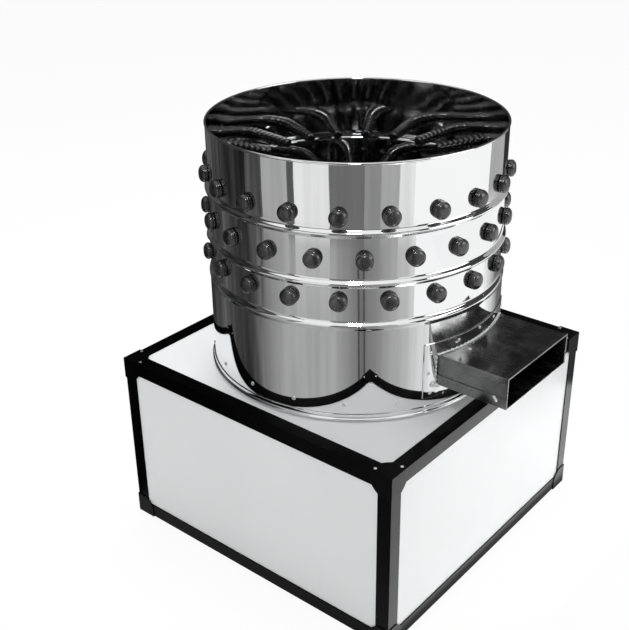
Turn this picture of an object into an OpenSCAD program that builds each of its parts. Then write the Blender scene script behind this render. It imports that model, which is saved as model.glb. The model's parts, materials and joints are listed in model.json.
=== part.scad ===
// Drum poultry plucker: a stainless drum lined with rubber fingers on a square cabinet.
// A finger plate turns in the drum, driven by a belt from an upright motor in the cabinet.
// Millimetres, +Z up, z = 0 on the floor, the origin under the middle of the part's box.
// The drum's axis is vertical, and the feather chute points along +X.

/* [Cabinet] */
// Outside width and depth over the corner caps
cabinet_w = 600; // [590:5:720]
// Outside height over the corner caps
cabinet_h = 340; // [332:2:420]
// Leg of the black edging angle
angle_leg = 26; // [22:1:32]
// Thickness of the edging angle
angle_t = 2; // [1.5:0.5:3]
// Thickness of the white panels
panel_t = 4; // [3:0.5:6]
// Wall of the plastic corner caps
cap_wall = 1.5; // [1:0.5:2.5]
// Length of a corner cap along each edge
cap_arm = 40; // [34:1:60]
// Radius of a corner cap's lobe about its corner
cap_lobe_r = 46; // [42:1:70]
// Number of cooling slots in the back panel
vent_count = 9; // [3:2:13]
// Length of a cooling slot
vent_len = 70; // [40:5:110]
// Width of a cooling slot
vent_w = 6; // [4:1:8]
// Distance between cooling slots
vent_pitch = 16; // [12:1:22]

/* [Drum] */
// Distance from the inside of the drum to the cabinet's sides
drum_margin = 50; // [46:1:70]
// Thickness of the drum's sheet
drum_sheet = 2; // [1:0.5:3]
// Height of the drum above the cabinet's top panel
drum_h = 437; // [420:1:520]
// Inside radius of a rolled bead; the foot strip is wider than the others by as much
bead_r = 5; // [3:0.5:8]
// Drop of the low bead below the first row of fingers
low_bead_drop = 42.5; // [30:0.5:50]
// Rise of the middle bead above the first row of fingers
mid_bead_rise = 29; // [26:1:36]
// Drop of the top bead below the last row of fingers
top_bead_drop = 27; // [25:1:36]
// Radius of the rolled edge round the mouth
rim_r = 2.2; // [1.8:0.2:4]
// Height of the ring round the drum's foot
base_ring_h = 14; // [8:1:24]
// Width of that ring's foot on the panel
base_ring_w = 5; // [3:0.5:8]
// Thickness of that ring
base_ring_t = 1.5; // [1:0.5:3]

/* [Fingers] */
// Number of fingers in each row of the drum's wall
fingers_per_row = 20; // [12:2:24]
// Distance between rows of wall fingers
row_pitch = 69.5; // [62:0.5:80]
// Diameter of a finger's head
head_d = 29; // [26:1:32]
// Height of a finger's head
head_len = 15; // [12:1:18]
// Diameter of the hole that holds a finger
finger_hole = 20; // [16:0.5:22]
// Diameter of a finger behind the sheet
shoulder_d = 24; // [23:0.5:27]
// Diameter of a finger's tip
tip_d = 17; // [12:0.5:20]
// Reach of a finger beyond its sheet
finger_reach = 88; // [70:1:100]
// Number of ribs on a finger
rib_count = 7; // [4:1:9]
// Depth of the grooves between the ribs
rib_depth = 1.2; // [0.5:0.1:2]

/* [Chute] */
// Outside width of the feather chute
chute_w = 190; // [140:2:220]
// Outside height of the feather chute
chute_h = 54; // [40:1:80]
// Height of the chute's underside above the top panel
chute_floor = 52; // [40:1:70]
// Reach of the chute beyond the cabinet
chute_overhang = 70; // [30:1:120]
// Thickness of the chute's sheet
chute_sheet = 1.5; // [1:0.25:2]
// Height of the tray's upturned sides
tray_side = 18; // [8:1:22]
// Depth of the hem round the mouth
hem_w = 6; // [4:1:12]
// Width of the collar on the drum
collar_w = 22; // [10:1:26]

/* [Feather plate] */
// Gap between the plate and the drum's wall
plate_gap = 13; // [8:0.5:18]
// Thickness of the plate
plate_t = 3; // [2:0.5:5]
// Depth of the plate's turned-down edge
plate_lip = 7; // [4:1:12]
// Distance of the outer ring of fingers from the plate's edge
outer_inset = 37; // [34:1:45]
// Gap between the hub's flange and the heads of the inner ring
inner_ring_gap = 6.5; // [4:0.5:12]
// Number of fingers in the outer ring
outer_count = 16; // [12:4:16]
// Number of fingers in the middle ring
middle_count = 12; // [8:4:12]
// Number of fingers in the inner ring
inner_count = 8; // [4:4:8]
// Height of the feather sweepers under the plate
sweeper_h = 44; // [30:1:46]
// Thickness of a sweeper
sweeper_t = 3; // [2:0.5:4]
// Width of a sweeper's foot
sweeper_foot = 11; // [8:0.5:12]
// Radius of the hub's flange
hub_flange_r = 54; // [50:1:56]
// Thickness of the hub's flange
hub_flange_t = 8; // [6:1:12]
// Radius of the hub's boss
hub_boss_r = 25; // [20:1:30]
// Radius of the cap over the hub
hub_cap_r = 28; // [22:1:32]
// Height of the cap over the hub
hub_cap_h = 12; // [8:1:20]

/* [Spindle] */
// Diameter of the drive shaft in its bearings
shaft_d = 25; // [20:1:28]
// Diameter of the drive shaft between its bearings
shaft_mid_d = 34; // [31:1:38]
// Outside diameter of a bearing
bearing_od = 52; // [46:1:62]
// Width of a bearing
bearing_w = 15; // [12:1:18]
// Wall of the spindle housing
housing_wall = 8; // [5:1:12]
// Radius of the housing's flange
housing_flange_r = 72; // [66:1:76]
// Thickness of the housing's flange
housing_flange_t = 10; // [8:1:14]
// Outside size of the square cross rails
rail_w = 40; // [35:1:50]
// Wall of the cross rails
rail_wall = 3; // [2:0.5:4]
// Gap between the plate that carries the spindle and the motor's fan cover
carrier_gap = 19; // [10:1:30]
// Thickness of the carrier plate
carrier_t = 8; // [6:1:12]
// Radius of the shaft's way through the top panel
deck_hole_r = 24; // [20:1:30]
// Height of the neck round the shaft in the drum's floor
neck_h = 13; // [8:1:15]
// Height of the rubber seal on the neck
seal_h = 5; // [3:1:6]

/* [Belt drive] */
// Height of the belt above the floor
belt_z = 46; // [42:1:56]
// Outside diameter of the motor pulley
motor_pulley_od = 64; // [60:2:72]
// Gap between the rims of the two pulleys
pulley_gap = 31; // [26:1:40]
// Width of the pulley rims
rim_w = 24; // [22:1:30]
// Top width of the belt's groove
groove_w = 17; // [13:1:17]
// Depth of the groove
groove_depth = 14; // [13:0.5:16]
// Depth of the belt
belt_h = 11; // [8:0.5:11]
// Radial depth of the driven pulley's rim
pulley_rim = 24; // [20:1:30]
// Thickness of the driven pulley's web
pulley_web = 8; // [6:1:12]
// Number of holes in the web
web_holes = 6; // [4:1:6]
// Radius of the holes in the web
web_hole_r = 25; // [15:1:28]
// Length of the driven pulley's hub
pulley_hub_len = 36; // [30:1:40]
// Radius of the driven pulley's hub
pulley_hub_r = 30; // [26:1:34]

/* [Motor] */
// Radius over the motor's fins
fin_r = 70; // [64:1:72]
// Radius of the motor's body under the fins
motor_core_r = 61; // [56:1:62]
// Number of fins
fin_count = 24; // [16:4:32]
// Thickness of a fin
fin_t = 3; // [2:0.5:4]
// Gap between the motor's fins and the left panel
motor_gap = 17.5; // [12:0.5:24]
// Thickness of each end bell
bell_t = 15; // [12:1:16]
// Height of the fan cover
fan_cover_h = 50; // [40:1:52]
// Wall of the fan cover
fan_cover_t = 1.5; // [1:0.5:2]
// Gap between the fan cover and the top panel
fan_cover_gap = 33.5; // [24:0.5:50]
// Radius of the fan
fan_r = 56; // [45:1:58]
// Number of fan blades
fan_blades = 8; // [6:1:10]
// Diameter of the motor's shaft
motor_shaft_d = 19; // [16:1:24]
// Height of the motor's axis above its feet
motor_axis_h = 80; // [78:1:86]
// Thickness of the motor's feet
foot_t = 10; // [8:1:12]
// Distance from the motor's axis to a row of foot bolts
foot_bolt_x = 50; // [46:1:54]
// Distance from the motor's feet to the ends of its finned body
foot_end_gap = 14; // [8:1:20]
// Thickness of the bracket that carries the motor
bracket_t = 8; // [6:1:10]
// Way of the foot bolts along the bracket's slots, for tightening the belt
slot_travel = 20; // [10:1:24]

/* [Switch] */
// Width of the switch's face
switch_w = 60; // [54:1:80]
// Height of the switch's face
switch_h = 100; // [90:1:130]
// Thickness of the switch's face
switch_face_t = 10; // [6:0.5:14]
// Depth of the switch's body behind the panel
switch_depth = 40; // [30:1:45]
// Radius of the corners of the switch's face
switch_corner = 8; // [4:1:12]
// Diameter of a push button
button_d = 22; // [18:1:26]
// Distance between the two push buttons
button_pitch = 42; // [36:1:50]
// Height of a button over the switch's face
button_proud = 3.5; // [3:0.5:6]
// Travel of a button
button_travel = 2.5; // [2:0.5:3]
// Outside diameter of the cable gland
gland_d = 24; // [20:1:30]
// Bore of the cable gland
gland_bore = 9; // [7:0.5:12]
// Height of the cable gland above the panel
gland_proud = 13; // [8:1:16]

/* [Hidden] */

$fn = 64;

// Gap between faces that are seated without pressing on each other
seat = 0.3;
// Radial clearance of a shaft that turns in its bore
running = 0.05;
// Radial clearance of a pressed or clamped seat, drawn as a slip fit
tight = 0.02;
// Gap between turning and standing parts beside each other
turn_gap = 2;
// Radial clearance of a bolt in its hole
bolt_gap = 0.5;

// Levels of the cabinet, from the floor up
angle_out = cabinet_w / 2 - cap_wall;
panel_out = angle_out - angle_t;
panel_in = panel_out - panel_t;
frame_low = cap_wall;
frame_top = cabinet_h - cap_wall;
floor_low = frame_low + angle_t;
floor_top = floor_low + panel_t;
deck_z = frame_top - angle_t;
deck_low = deck_z - panel_t;

// The drum and its fingers, heights from the top panel
drum_bore = cabinet_w - 2 * drum_margin;
drum_r = drum_bore / 2 + drum_sheet;
foot_bore_r = drum_bore / 2 + bead_r;
foot_r = foot_bore_r + drum_sheet;
chute_top = chute_floor + chute_h;
plate_gap_z = 1;
plate_low = chute_top + plate_gap_z;
plate_top = plate_low + plate_t;
row_gap = 4;
first_row_z = plate_top + finger_reach + shoulder_d / 2 + row_gap;
last_row = 2;
last_row_z = first_row_z + last_row * row_pitch;
bead_heights = [first_row_z - low_bead_drop, first_row_z + mid_bead_rise, last_row_z - top_bead_drop];
finger_pitch = 360 / fingers_per_row;
quarter_pitch = finger_pitch / 4;

// The drum's floor is level with the inside of the chute
pan_t = 1.5;
pan_top = chute_floor + chute_sheet;
neck_gap = 4;
neck_r = shaft_d / 2 + neck_gap;
neck_top = pan_top + neck_h;
seal_top = neck_top + seal_h;

// The chute, as distances from the drum's axis
mouth_x = cabinet_w / 2 + chute_overhang;
chute_in_w = chute_w - 2 * chute_sheet;
chute_in_h = chute_h - 2 * chute_sheet;
collar_t = 1.5;

// The feather plate's rings of fingers
plate_r = foot_bore_r - plate_gap;
outer_ring_r = plate_r - outer_inset;
inner_ring_r = hub_flange_r + inner_ring_gap + head_d / 2;
middle_ring_r = (outer_ring_r + inner_ring_r) / 2;
sweeper_count = 4;
sweeper_edge_gap = 16;
sweeper_r = plate_r - sweeper_edge_gap;
hub_bolt_gap = 13;
hub_bolt_r = hub_cap_r + hub_bolt_gap;
hub_bolt_d = 8;
hub_low = seal_top + turn_gap;
cap_bolt_d = 10;
cap_bolt_grip = 34;

// The shafts' distance and the driven pulley follow from the room beside the motor
bell_lip = 5;
bell_r = motor_core_r + bell_lip;
fan_cover_r = bell_r + seat + fan_cover_t;
centre_distance = panel_in - motor_gap - fin_r;
driven_od = 2 * (centre_distance - pulley_gap) - motor_pulley_od;

// The spindle, from the carrier plate down
carrier_len = 2 * (centre_distance - fan_cover_r - carrier_gap);
rail_low = deck_low - rail_w;
carrier_low = rail_low - carrier_t;
rail_y = motor_axis_h + rail_w / 2;
rail_bolt_d = 10;
rail_bolt_edge = 22;
rail_bolt_x = carrier_len / 2 - rail_bolt_edge;
spindle_bolt_d = 10;
spindle_bolt_gap = 15;
spindle_bolt_r = bearing_od / 2 + housing_wall + spindle_bolt_gap;
pulley_hub_top = belt_z + pulley_hub_len / 2;
pulley_hub_low = belt_z - pulley_hub_len / 2;
housing_gap = 8;
housing_low = pulley_hub_top + housing_gap;
bearing_shoulder = 5;
shaft_stub = 5;
shaft_low = pulley_hub_low - shaft_stub;

// The motor stands beside the spindle, its shaft down
motor_x = -centre_distance;
motor_rim_gap = 15;
motor_low = belt_z + rim_w / 2 + motor_rim_gap;
motor_body_low = motor_low + bell_t;
fan_cover_lap = 6;
motor_top = deck_low - fan_cover_gap - fan_cover_h + fan_cover_lap;
motor_body_top = motor_top - bell_t;
motor_len = motor_body_top - motor_body_low;
motor_mid = (motor_body_low + motor_body_top) / 2;
fan_gap = 14;
fan_low = motor_top + fan_gap;
fan_h = 22;
foot_bolt_d = 8;
foot_edge = 12;
foot_half_z = motor_len / 2 - foot_end_gap;
foot_bolt_z = foot_half_z - foot_edge;
foot_half_x = foot_bolt_x + foot_edge;
bracket_edge = 8;
bracket_low = motor_mid - foot_half_z - bracket_edge;
bracket_half = foot_bolt_x + slot_travel / 2 + bracket_edge;
bracket_bolt_inset = 5;
bracket_bolt_x = foot_bolt_x - bracket_bolt_inset;

// The belt runs from the driven pulley to the motor pulley
groove_slope = tan(19);
belt_drop = 1;
belt_gap = 0.35;
driven_belt_r = driven_od / 2 - belt_drop;
motor_belt_r = motor_pulley_od / 2 - belt_drop;
belt_turn = acos((driven_belt_r - motor_belt_r) / centre_distance);
belt_span = centre_distance * sin(belt_turn);

// The switch and the gland sit in the left panel, opposite the chute
switch_y = -170;
switch_z = 200;
switch_flange_w = 6;
switch_flange_h = 7;
switch_body_w = switch_w - 2 * switch_flange_w;
switch_body_h = switch_h - 2 * switch_flange_h;
button_fit = 0.3;
button_len = 14;
button_floor_gap = 1;
button_bore_depth = button_len - button_proud + button_travel + button_floor_gap;
gland_z = 62;
gland_flange = 5;
gland_tail = 14;
gland_thread_r = 10;
left_reach = panel_out + max(switch_face_t + button_proud, gland_proud);
axis_x = (left_reach - mouth_x) / 2;

// Puts what is built round the drum's axis where the part's box is centred on the origin.
module on_axis() {
  translate([axis_x, 0, 0]) children();
}

// Copies a shape four times round the drum's axis, a quarter turn apart.
module four_sides() {
  for (side = [0 : 3]) rotate([0, 0, 90 * side]) children();
}

// One side of a square ring of this width in from the angle's outer face, mitred at its ends.
module mitred_side(width, height) {
  linear_extrude(height)
    polygon([
      [-angle_out, -angle_out],
      [angle_out, -angle_out],
      [angle_out - width, -angle_out + width],
      [-angle_out + width, -angle_out + width],
    ]);
}

// One mitred edging angle with its flat leg at the bottom.
module edge_angle() {
  mitred_side(angle_leg, angle_t);
  mitred_side(angle_t, angle_leg);
}

module bottom_frame() {
  color([0.06, 0.06, 0.06]) on_axis() translate([0, 0, frame_low]) four_sides() edge_angle();
}

module top_frame() {
  color([0.06, 0.06, 0.06])
    on_axis() translate([0, 0, frame_top]) mirror([0, 0, 1]) four_sides() edge_angle();
}

module corner_posts() {
  post_low = frame_low + angle_leg;
  post_len = frame_top - angle_leg - post_low;
  color([0.06, 0.06, 0.06])
    on_axis()
      four_sides()
        translate([-angle_out, -angle_out, post_low])
          linear_extrude(post_len) {
            square([angle_leg, angle_t]);
            square([angle_t, angle_leg]);
          }
}

// A corner cap's round lobe, lying on one face of its corner.
module cap_lobe() {
  linear_extrude(cap_wall)
    intersection() {
      square(cap_arm);
      circle(cap_lobe_r);
    }
}

// A cap for the corner at the origin of the room x, y, z > 0.
module corner_cap() {
  cap_lobe();
  mirror([0, 1, 0]) rotate([90, 0, 0]) cap_lobe();
  mirror([1, 0, 0]) rotate([0, -90, 0]) cap_lobe();
}

module bottom_corner_caps() {
  color([0.09, 0.09, 0.09])
    on_axis() four_sides() translate([-cabinet_w / 2, -cabinet_w / 2, 0]) corner_cap();
}

module top_corner_caps() {
  color([0.09, 0.09, 0.09])
    on_axis()
      translate([0, 0, cabinet_h])
        mirror([0, 0, 1]) four_sides() translate([-cabinet_w / 2, -cabinet_w / 2, 0]) corner_cap();
}

// A flat sheet of panel, centred in X and Y.
module flat_panel(low) {
  translate([-panel_out, -panel_out, low]) cube([2 * panel_out, 2 * panel_out, panel_t]);
}

module top_panel() {
  color([0.93, 0.94, 0.95])
    on_axis()
      difference() {
        flat_panel(deck_low);
        translate([0, 0, deck_low - 1]) cylinder(r = deck_hole_r, h = panel_t + 2);
      }
}

module floor_panel() {
  color([0.93, 0.94, 0.95]) on_axis() flat_panel(floor_low);
}

// An upright panel of this width whose outer face lies at y = -panel_out.
module upright_panel(width) {
  translate([-width / 2, -panel_out, floor_top]) cube([width, panel_t, deck_low - floor_top]);
}

module front_panel() {
  color([0.93, 0.94, 0.95]) on_axis() upright_panel(2 * panel_out);
}

module back_panel() {
  vent_z = (floor_top + deck_low) / 2;
  color([0.93, 0.94, 0.95])
    on_axis()
      difference() {
        rotate([0, 0, 180]) upright_panel(2 * panel_out);
        for (i = [0 : vent_count - 1])
          translate([motor_x + (i - (vent_count - 1) / 2) * vent_pitch, panel_in - 1, vent_z])
            rotate([-90, 0, 0]) slot(vent_w / 2, vent_len, panel_t + 2);
      }
}

module right_panel() {
  color([0.93, 0.94, 0.95]) on_axis() rotate([0, 0, 90]) upright_panel(2 * panel_in);
}

module left_panel() {
  gap_w = switch_body_w + 2 * seat;
  gap_h = switch_body_h + 2 * seat;
  color([0.93, 0.94, 0.95])
    on_axis()
      difference() {
        rotate([0, 0, -90]) upright_panel(2 * panel_in);
        translate([-panel_out - 1, switch_y - gap_w / 2, switch_z - gap_h / 2])
          cube([panel_t + 2, gap_w, gap_h]);
        translate([-panel_out - 1, switch_y, gland_z])
          rotate([0, 90, 0]) cylinder(r = gland_thread_r + seat, h = panel_t + 2);
      }
}

// A slot with round ends, its length along Y, cut upwards from z = 0.
module slot(r, length, depth) {
  straight = length - 2 * r;
  for (side = [-1, 1]) translate([0, side * straight / 2, 0]) cylinder(r = r, h = depth);
  translate([-r, -straight / 2, 0]) cube([2 * r, straight, depth]);
}

// A bolt that stands up through this grip, with its hex head below and its nut above.
module bolt(d, grip) {
  head_h = 0.65 * d;
  nut_h = 0.8 * d;
  hex_r = 0.98 * d;
  translate([0, 0, -head_h]) cylinder(r = hex_r, h = head_h, $fn = 6);
  cylinder(d = d, h = grip + nut_h + 2);
  translate([0, 0, grip]) cylinder(r = hex_r, h = nut_h, $fn = 6);
}

// Puts its children at the four places where the carrier plate is bolted to the rails.
module at_rail_bolts() {
  for (x = [-rail_bolt_x, rail_bolt_x], y = [-rail_y, rail_y]) translate([x, y, 0]) children();
}

// Puts its children at the two places where the motor bracket is bolted to its rail.
module at_bracket_bolts() {
  for (side = [-1, 1]) translate([motor_x + side * bracket_bolt_x, rail_y, 0]) children();
}

// Puts its children at the four bolts of the spindle housing's flange.
module at_spindle_bolts() {
  for (a = [45 : 90 : 315]) rotate([0, 0, a]) translate([spindle_bolt_r, 0, 0]) children();
}

// Puts its children at the four foot bolts of the motor, pointing along +Y through feet and bracket.
module at_foot_bolts() {
  for (x = [-foot_bolt_x, foot_bolt_x], z = [-foot_bolt_z, foot_bolt_z])
    translate([motor_x + x, motor_axis_h - foot_t, motor_mid + z]) rotate([-90, 0, 0]) children();
}

// A square cross rail on this side of the drum's axis, closed against the side panels.
module cross_rail(side) {
  inner = rail_w - 2 * rail_wall;
  difference() {
    translate([-panel_in, side * rail_y - rail_w / 2, rail_low])
      cube([2 * panel_in, rail_w, rail_w]);
    translate([-panel_in - 1, side * rail_y - inner / 2, rail_low + rail_wall])
      cube([2 * panel_in + 2, inner, inner]);
    translate([0, 0, rail_low - 1]) {
      at_rail_bolts() cylinder(d = rail_bolt_d + 2 * bolt_gap, h = rail_wall + 2);
      at_bracket_bolts() cylinder(d = rail_bolt_d + 2 * bolt_gap, h = rail_wall + 2);
    }
  }
}

module front_cross_rail() {
  color([0.35, 0.36, 0.38]) on_axis() cross_rail(-1);
}

module rear_cross_rail() {
  color([0.35, 0.36, 0.38]) on_axis() cross_rail(1);
}

module carrier_plate() {
  plate_half_y = rail_y + rail_w / 2;
  color([0.35, 0.36, 0.38])
    on_axis()
      difference() {
        translate([-carrier_len / 2, -plate_half_y, carrier_low])
          cube([carrier_len, 2 * plate_half_y, carrier_t]);
        translate([0, 0, carrier_low - 1]) {
          cylinder(d = shaft_mid_d + 2 * turn_gap, h = carrier_t + 2);
          at_rail_bolts() cylinder(d = rail_bolt_d + 2 * bolt_gap, h = carrier_t + 2);
          at_spindle_bolts() cylinder(d = spindle_bolt_d + 2 * bolt_gap, h = carrier_t + 2);
        }
      }
}

module rail_bolts() {
  color([0.75, 0.76, 0.78])
    on_axis() {
      translate([0, 0, carrier_low]) at_rail_bolts() bolt(rail_bolt_d, carrier_t + rail_wall);
      translate([0, 0, rail_low - bracket_t])
        at_bracket_bolts() bolt(rail_bolt_d, bracket_t + rail_wall);
    }
}

// The housing hangs under the carrier plate, with a bearing pocket at each end.
module spindle_housing() {
  tube_r = bearing_od / 2 + housing_wall;
  color([0.28, 0.3, 0.33])
    on_axis()
      difference() {
        union() {
          translate([0, 0, housing_low]) cylinder(r = tube_r, h = carrier_low - housing_low);
          translate([0, 0, carrier_low - housing_flange_t])
            cylinder(r = housing_flange_r, h = housing_flange_t);
        }
        translate([0, 0, housing_low - 1])
          cylinder(d = bearing_od - 2 * bearing_shoulder, h = carrier_low - housing_low + 2);
        translate([0, 0, housing_low - 1]) cylinder(d = bearing_od, h = bearing_w + 1);
        translate([0, 0, carrier_low - bearing_w]) cylinder(d = bearing_od, h = bearing_w + 1);
        translate([0, 0, carrier_low - housing_flange_t - 1])
          at_spindle_bolts() cylinder(d = spindle_bolt_d + 2 * bolt_gap, h = housing_flange_t + 2);
      }
}

module spindle_bolts() {
  color([0.75, 0.76, 0.78])
    on_axis()
      translate([0, 0, carrier_low - housing_flange_t])
        at_spindle_bolts() bolt(spindle_bolt_d, housing_flange_t + carrier_t);
}

// A sealed ball bearing that stands on z = 0, its seals set back between the two rings.
module bearing() {
  bore_r = shaft_d / 2 + running;
  outer_r = bearing_od / 2 - tight;
  ring_t = (outer_r - bore_r) * 0.24;
  seal_back = 0.8;
  rotate_extrude()
    difference() {
      translate([bore_r, 0]) square([outer_r - bore_r, bearing_w]);
      for (z = [-1, bearing_w - seal_back])
        translate([bore_r + ring_t, z])
          square([outer_r - bore_r - 2 * ring_t, seal_back + 1]);
    }
}

module upper_bearing() {
  color([0.7, 0.71, 0.73]) on_axis() translate([0, 0, carrier_low - bearing_w]) bearing();
}

module lower_bearing() {
  color([0.7, 0.71, 0.73]) on_axis() translate([0, 0, housing_low]) bearing();
}

// The drum's wall in section: a thin sheet with hollow rolled beads and a rolled edge.
// The foot strip hangs from the widest part of the low bead.
module drum_section() {
  wall_h = drum_h - rim_r;
  translate([foot_bore_r, 0]) square([drum_sheet, bead_heights[0]]);
  difference() {
    union() {
      translate([drum_bore / 2, bead_heights[0]]) square([drum_sheet, wall_h - bead_heights[0]]);
      for (z = bead_heights) translate([drum_bore / 2, z]) circle(bead_r + drum_sheet);
    }
    translate([drum_bore / 2 - 3 * bead_r, 0]) square([3 * bead_r, wall_h]);
    translate([0, bead_heights[0] - 3 * bead_r]) square([drum_r + 3 * bead_r, 3 * bead_r]);
    for (z = bead_heights) translate([drum_bore / 2, z]) circle(bead_r);
  }
  translate([drum_bore / 2 + drum_sheet / 2, wall_h]) circle(rim_r);
}

// Angle of the first finger of a row; every second row is shifted by half a pitch.
function row_angle(row) = row % 2 == 0 ? -quarter_pitch : quarter_pitch;

// Puts its children at each finger of a row, pointing outwards from the drum's outer face.
module at_wall_fingers(row) {
  for (i = [0 : fingers_per_row - 1])
    rotate([0, 0, row_angle(row) + i * finger_pitch])
      translate([drum_r, 0, deck_z + first_row_z + row * row_pitch])
        rotate([0, 90, 0]) children();
}

// One of the strips that the drum is rolled from, less its children; the strips meet in the beads.
module drum_strip(strip) {
  low = strip == 0 ? 0 : bead_heights[strip - 1];
  high = strip > last_row ? drum_h : bead_heights[strip];
  color([0.82, 0.83, 0.85])
    on_axis()
      difference() {
        translate([0, 0, deck_z])
          rotate_extrude($fn = 120)
            intersection() {
              drum_section();
              translate([0, low]) square([drum_r + 2 * bead_r, high - low]);
            }
        children();
      }
}

// The holes for a row of fingers, through the drum's sheet.
module finger_holes(row) {
  past = 4;
  at_wall_fingers(row)
    translate([0, 0, -drum_sheet - past])
      cylinder(d = finger_hole, h = drum_sheet + 2 * past, $fn = 32);
}

module drum_shell() {
  drum_strip(0)
    translate([0, -chute_in_w / 2, deck_z + pan_top]) cube([foot_r + 2, chute_in_w, chute_in_h]);
}

module bottom_row_shell() {
  drum_strip(1) finger_holes(0);
}

module middle_row_shell() {
  drum_strip(2) finger_holes(1);
}

module top_row_shell() {
  drum_strip(3) finger_holes(2);
}

// An angle ring that stands on the top panel round the drum's foot.
module drum_base_ring() {
  ring_in = foot_r + seat;
  color([0.8, 0.81, 0.83])
    on_axis()
      translate([0, 0, deck_z])
        rotate_extrude($fn = 120) {
          translate([ring_in, 0]) square([base_ring_t, base_ring_h]);
          translate([ring_in, 0]) square([base_ring_w, base_ring_t]);
        }
}

// An inverted tray that stands in the drum, level with the chute.
module drum_floor() {
  pan_r = foot_bore_r - seat;
  color([0.78, 0.79, 0.81])
    on_axis()
      translate([0, 0, deck_z])
        rotate_extrude($fn = 120) {
          translate([pan_r - pan_t, 0]) square([pan_t, pan_top]);
          translate([neck_r, pan_top - pan_t]) square([pan_r - neck_r, pan_t]);
        }
}

// A short tube on the floor keeps water away from the shaft.
module floor_neck() {
  color([0.78, 0.79, 0.81])
    on_axis()
      translate([0, 0, deck_z + pan_top])
        rotate_extrude() translate([neck_r, 0]) square([pan_t, neck_h]);
}

module shaft_seal() {
  seal_r = neck_r + pan_t;
  lip_r = shaft_d / 2 + seat;
  color([0.08, 0.08, 0.08])
    on_axis()
      translate([0, 0, deck_z + neck_top])
        rotate_extrude()
          polygon([[lip_r, 0], [seal_r, 0], [seal_r, 0.6 * seal_h], [lip_r + 1, seal_h], [lip_r, seal_h]]);
}

// Half of a finger's outline, from its head at the top to its tip: radius, then height.
// The head stands over z = 0, and the sheet that holds the finger lies from -sheet to 0.
function finger_outline(sheet) =
  let (
    head_r = head_d / 2,
    flat_r = 3,
    groove_heights = [4.4, 1.6],
    groove_half = 0.8,
    edge_h = 6.5,
    foot_inset = 1.5,
    neck_r = finger_hole / 2 - seat,
    back_z = -sheet - 1.5 * seat,
    rib_start = back_z - 7,
    tip_z = -sheet - finger_reach,
    tip_round = 4,
    rib_len = (rib_start - tip_z - tip_round) / rib_count,
    rib_taper = (shoulder_d - tip_d) / 2 / rib_count
  )
  concat(
    [[0, head_len]],
    [
      for (a = [90 : -18 : 0])
        [flat_r + (head_r - flat_r) * cos(a), edge_h + (head_len - edge_h) * sin(a)]
    ],
    [
      for (z = groove_heights, step = [0 : 2])
        step == 0 ? [head_r, z + groove_half]
        : step == 1 ? [head_r - groove_half, z]
        : [head_r, z - groove_half]
    ],
    [
      [head_r - foot_inset, 0],
      [neck_r, 0],
      [neck_r, back_z],
      [shoulder_d / 2, back_z],
      [shoulder_d / 2, rib_start],
    ],
    [
      for (i = [0 : rib_count - 1], step = [0 : 2])
        step == 0 ? [shoulder_d / 2 - i * rib_taper - rib_depth, rib_start - (i + 0.16) * rib_len]
        : step == 1 ? [shoulder_d / 2 - (i + 0.35) * rib_taper, rib_start - (i + 0.32) * rib_len]
        : [shoulder_d / 2 - (i + 1) * rib_taper, rib_start - (i + 1) * rib_len]
    ],
    [
      for (a = [22.5 : 22.5 : 90])
        [tip_d / 2 - tip_round + tip_round * cos(a), tip_z + tip_round - tip_round * sin(a)]
    ],
    [[0, tip_z]]
  );

// A rubber finger whose head stands up from a sheet of this thickness.
module finger(sheet) {
  rotate_extrude($fn = 24) polygon(finger_outline(sheet));
}

module bottom_wall_fingers() {
  color([0.07, 0.07, 0.07]) on_axis() at_wall_fingers(0) finger(drum_sheet);
}

module middle_wall_fingers() {
  color([0.07, 0.07, 0.07]) on_axis() at_wall_fingers(1) finger(drum_sheet);
}

module top_wall_fingers() {
  color([0.07, 0.07, 0.07]) on_axis() at_wall_fingers(2) finger(drum_sheet);
}

// Cuts away the drum, so that a piece of the chute ends on its outer face.
module fitted_to_drum() {
  difference() {
    children();
    translate([0, 0, deck_z]) cylinder(r = foot_r + seat, h = drum_h, $fn = 120);
  }
}

// The chute's top and sides, bent from one sheet, with a hem round its mouth.
module chute_hood() {
  low = deck_z + chute_floor + chute_sheet;
  hood_h = chute_h - chute_sheet;
  color([0.75, 0.76, 0.78])
    on_axis()
      fitted_to_drum()
        difference() {
          union() {
            translate([0, -chute_w / 2, low]) cube([mouth_x, chute_w, hood_h]);
            translate([mouth_x - hem_w, -chute_w / 2 - chute_sheet, low + tray_side])
              cube([hem_w, chute_w + 2 * chute_sheet, hood_h - tray_side + chute_sheet]);
          }
          translate([-1, -chute_in_w / 2, low - 1]) cube([mouth_x + 2, chute_in_w, chute_in_h + 1]);
        }
}

// The chute's floor, its sides turned up outside the hood.
module chute_tray() {
  side_gap = seat / 3;
  tray_w = chute_w + 2 * side_gap + 2 * chute_sheet;
  color([0.7, 0.71, 0.73])
    on_axis()
      fitted_to_drum()
        difference() {
          translate([0, -tray_w / 2, deck_z + chute_floor])
            cube([mouth_x, tray_w, tray_side - side_gap]);
          translate([-1, -tray_w / 2 + chute_sheet, deck_z + chute_floor + chute_sheet])
            cube([mouth_x + 2, tray_w - 2 * chute_sheet, tray_side]);
        }
}

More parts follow.
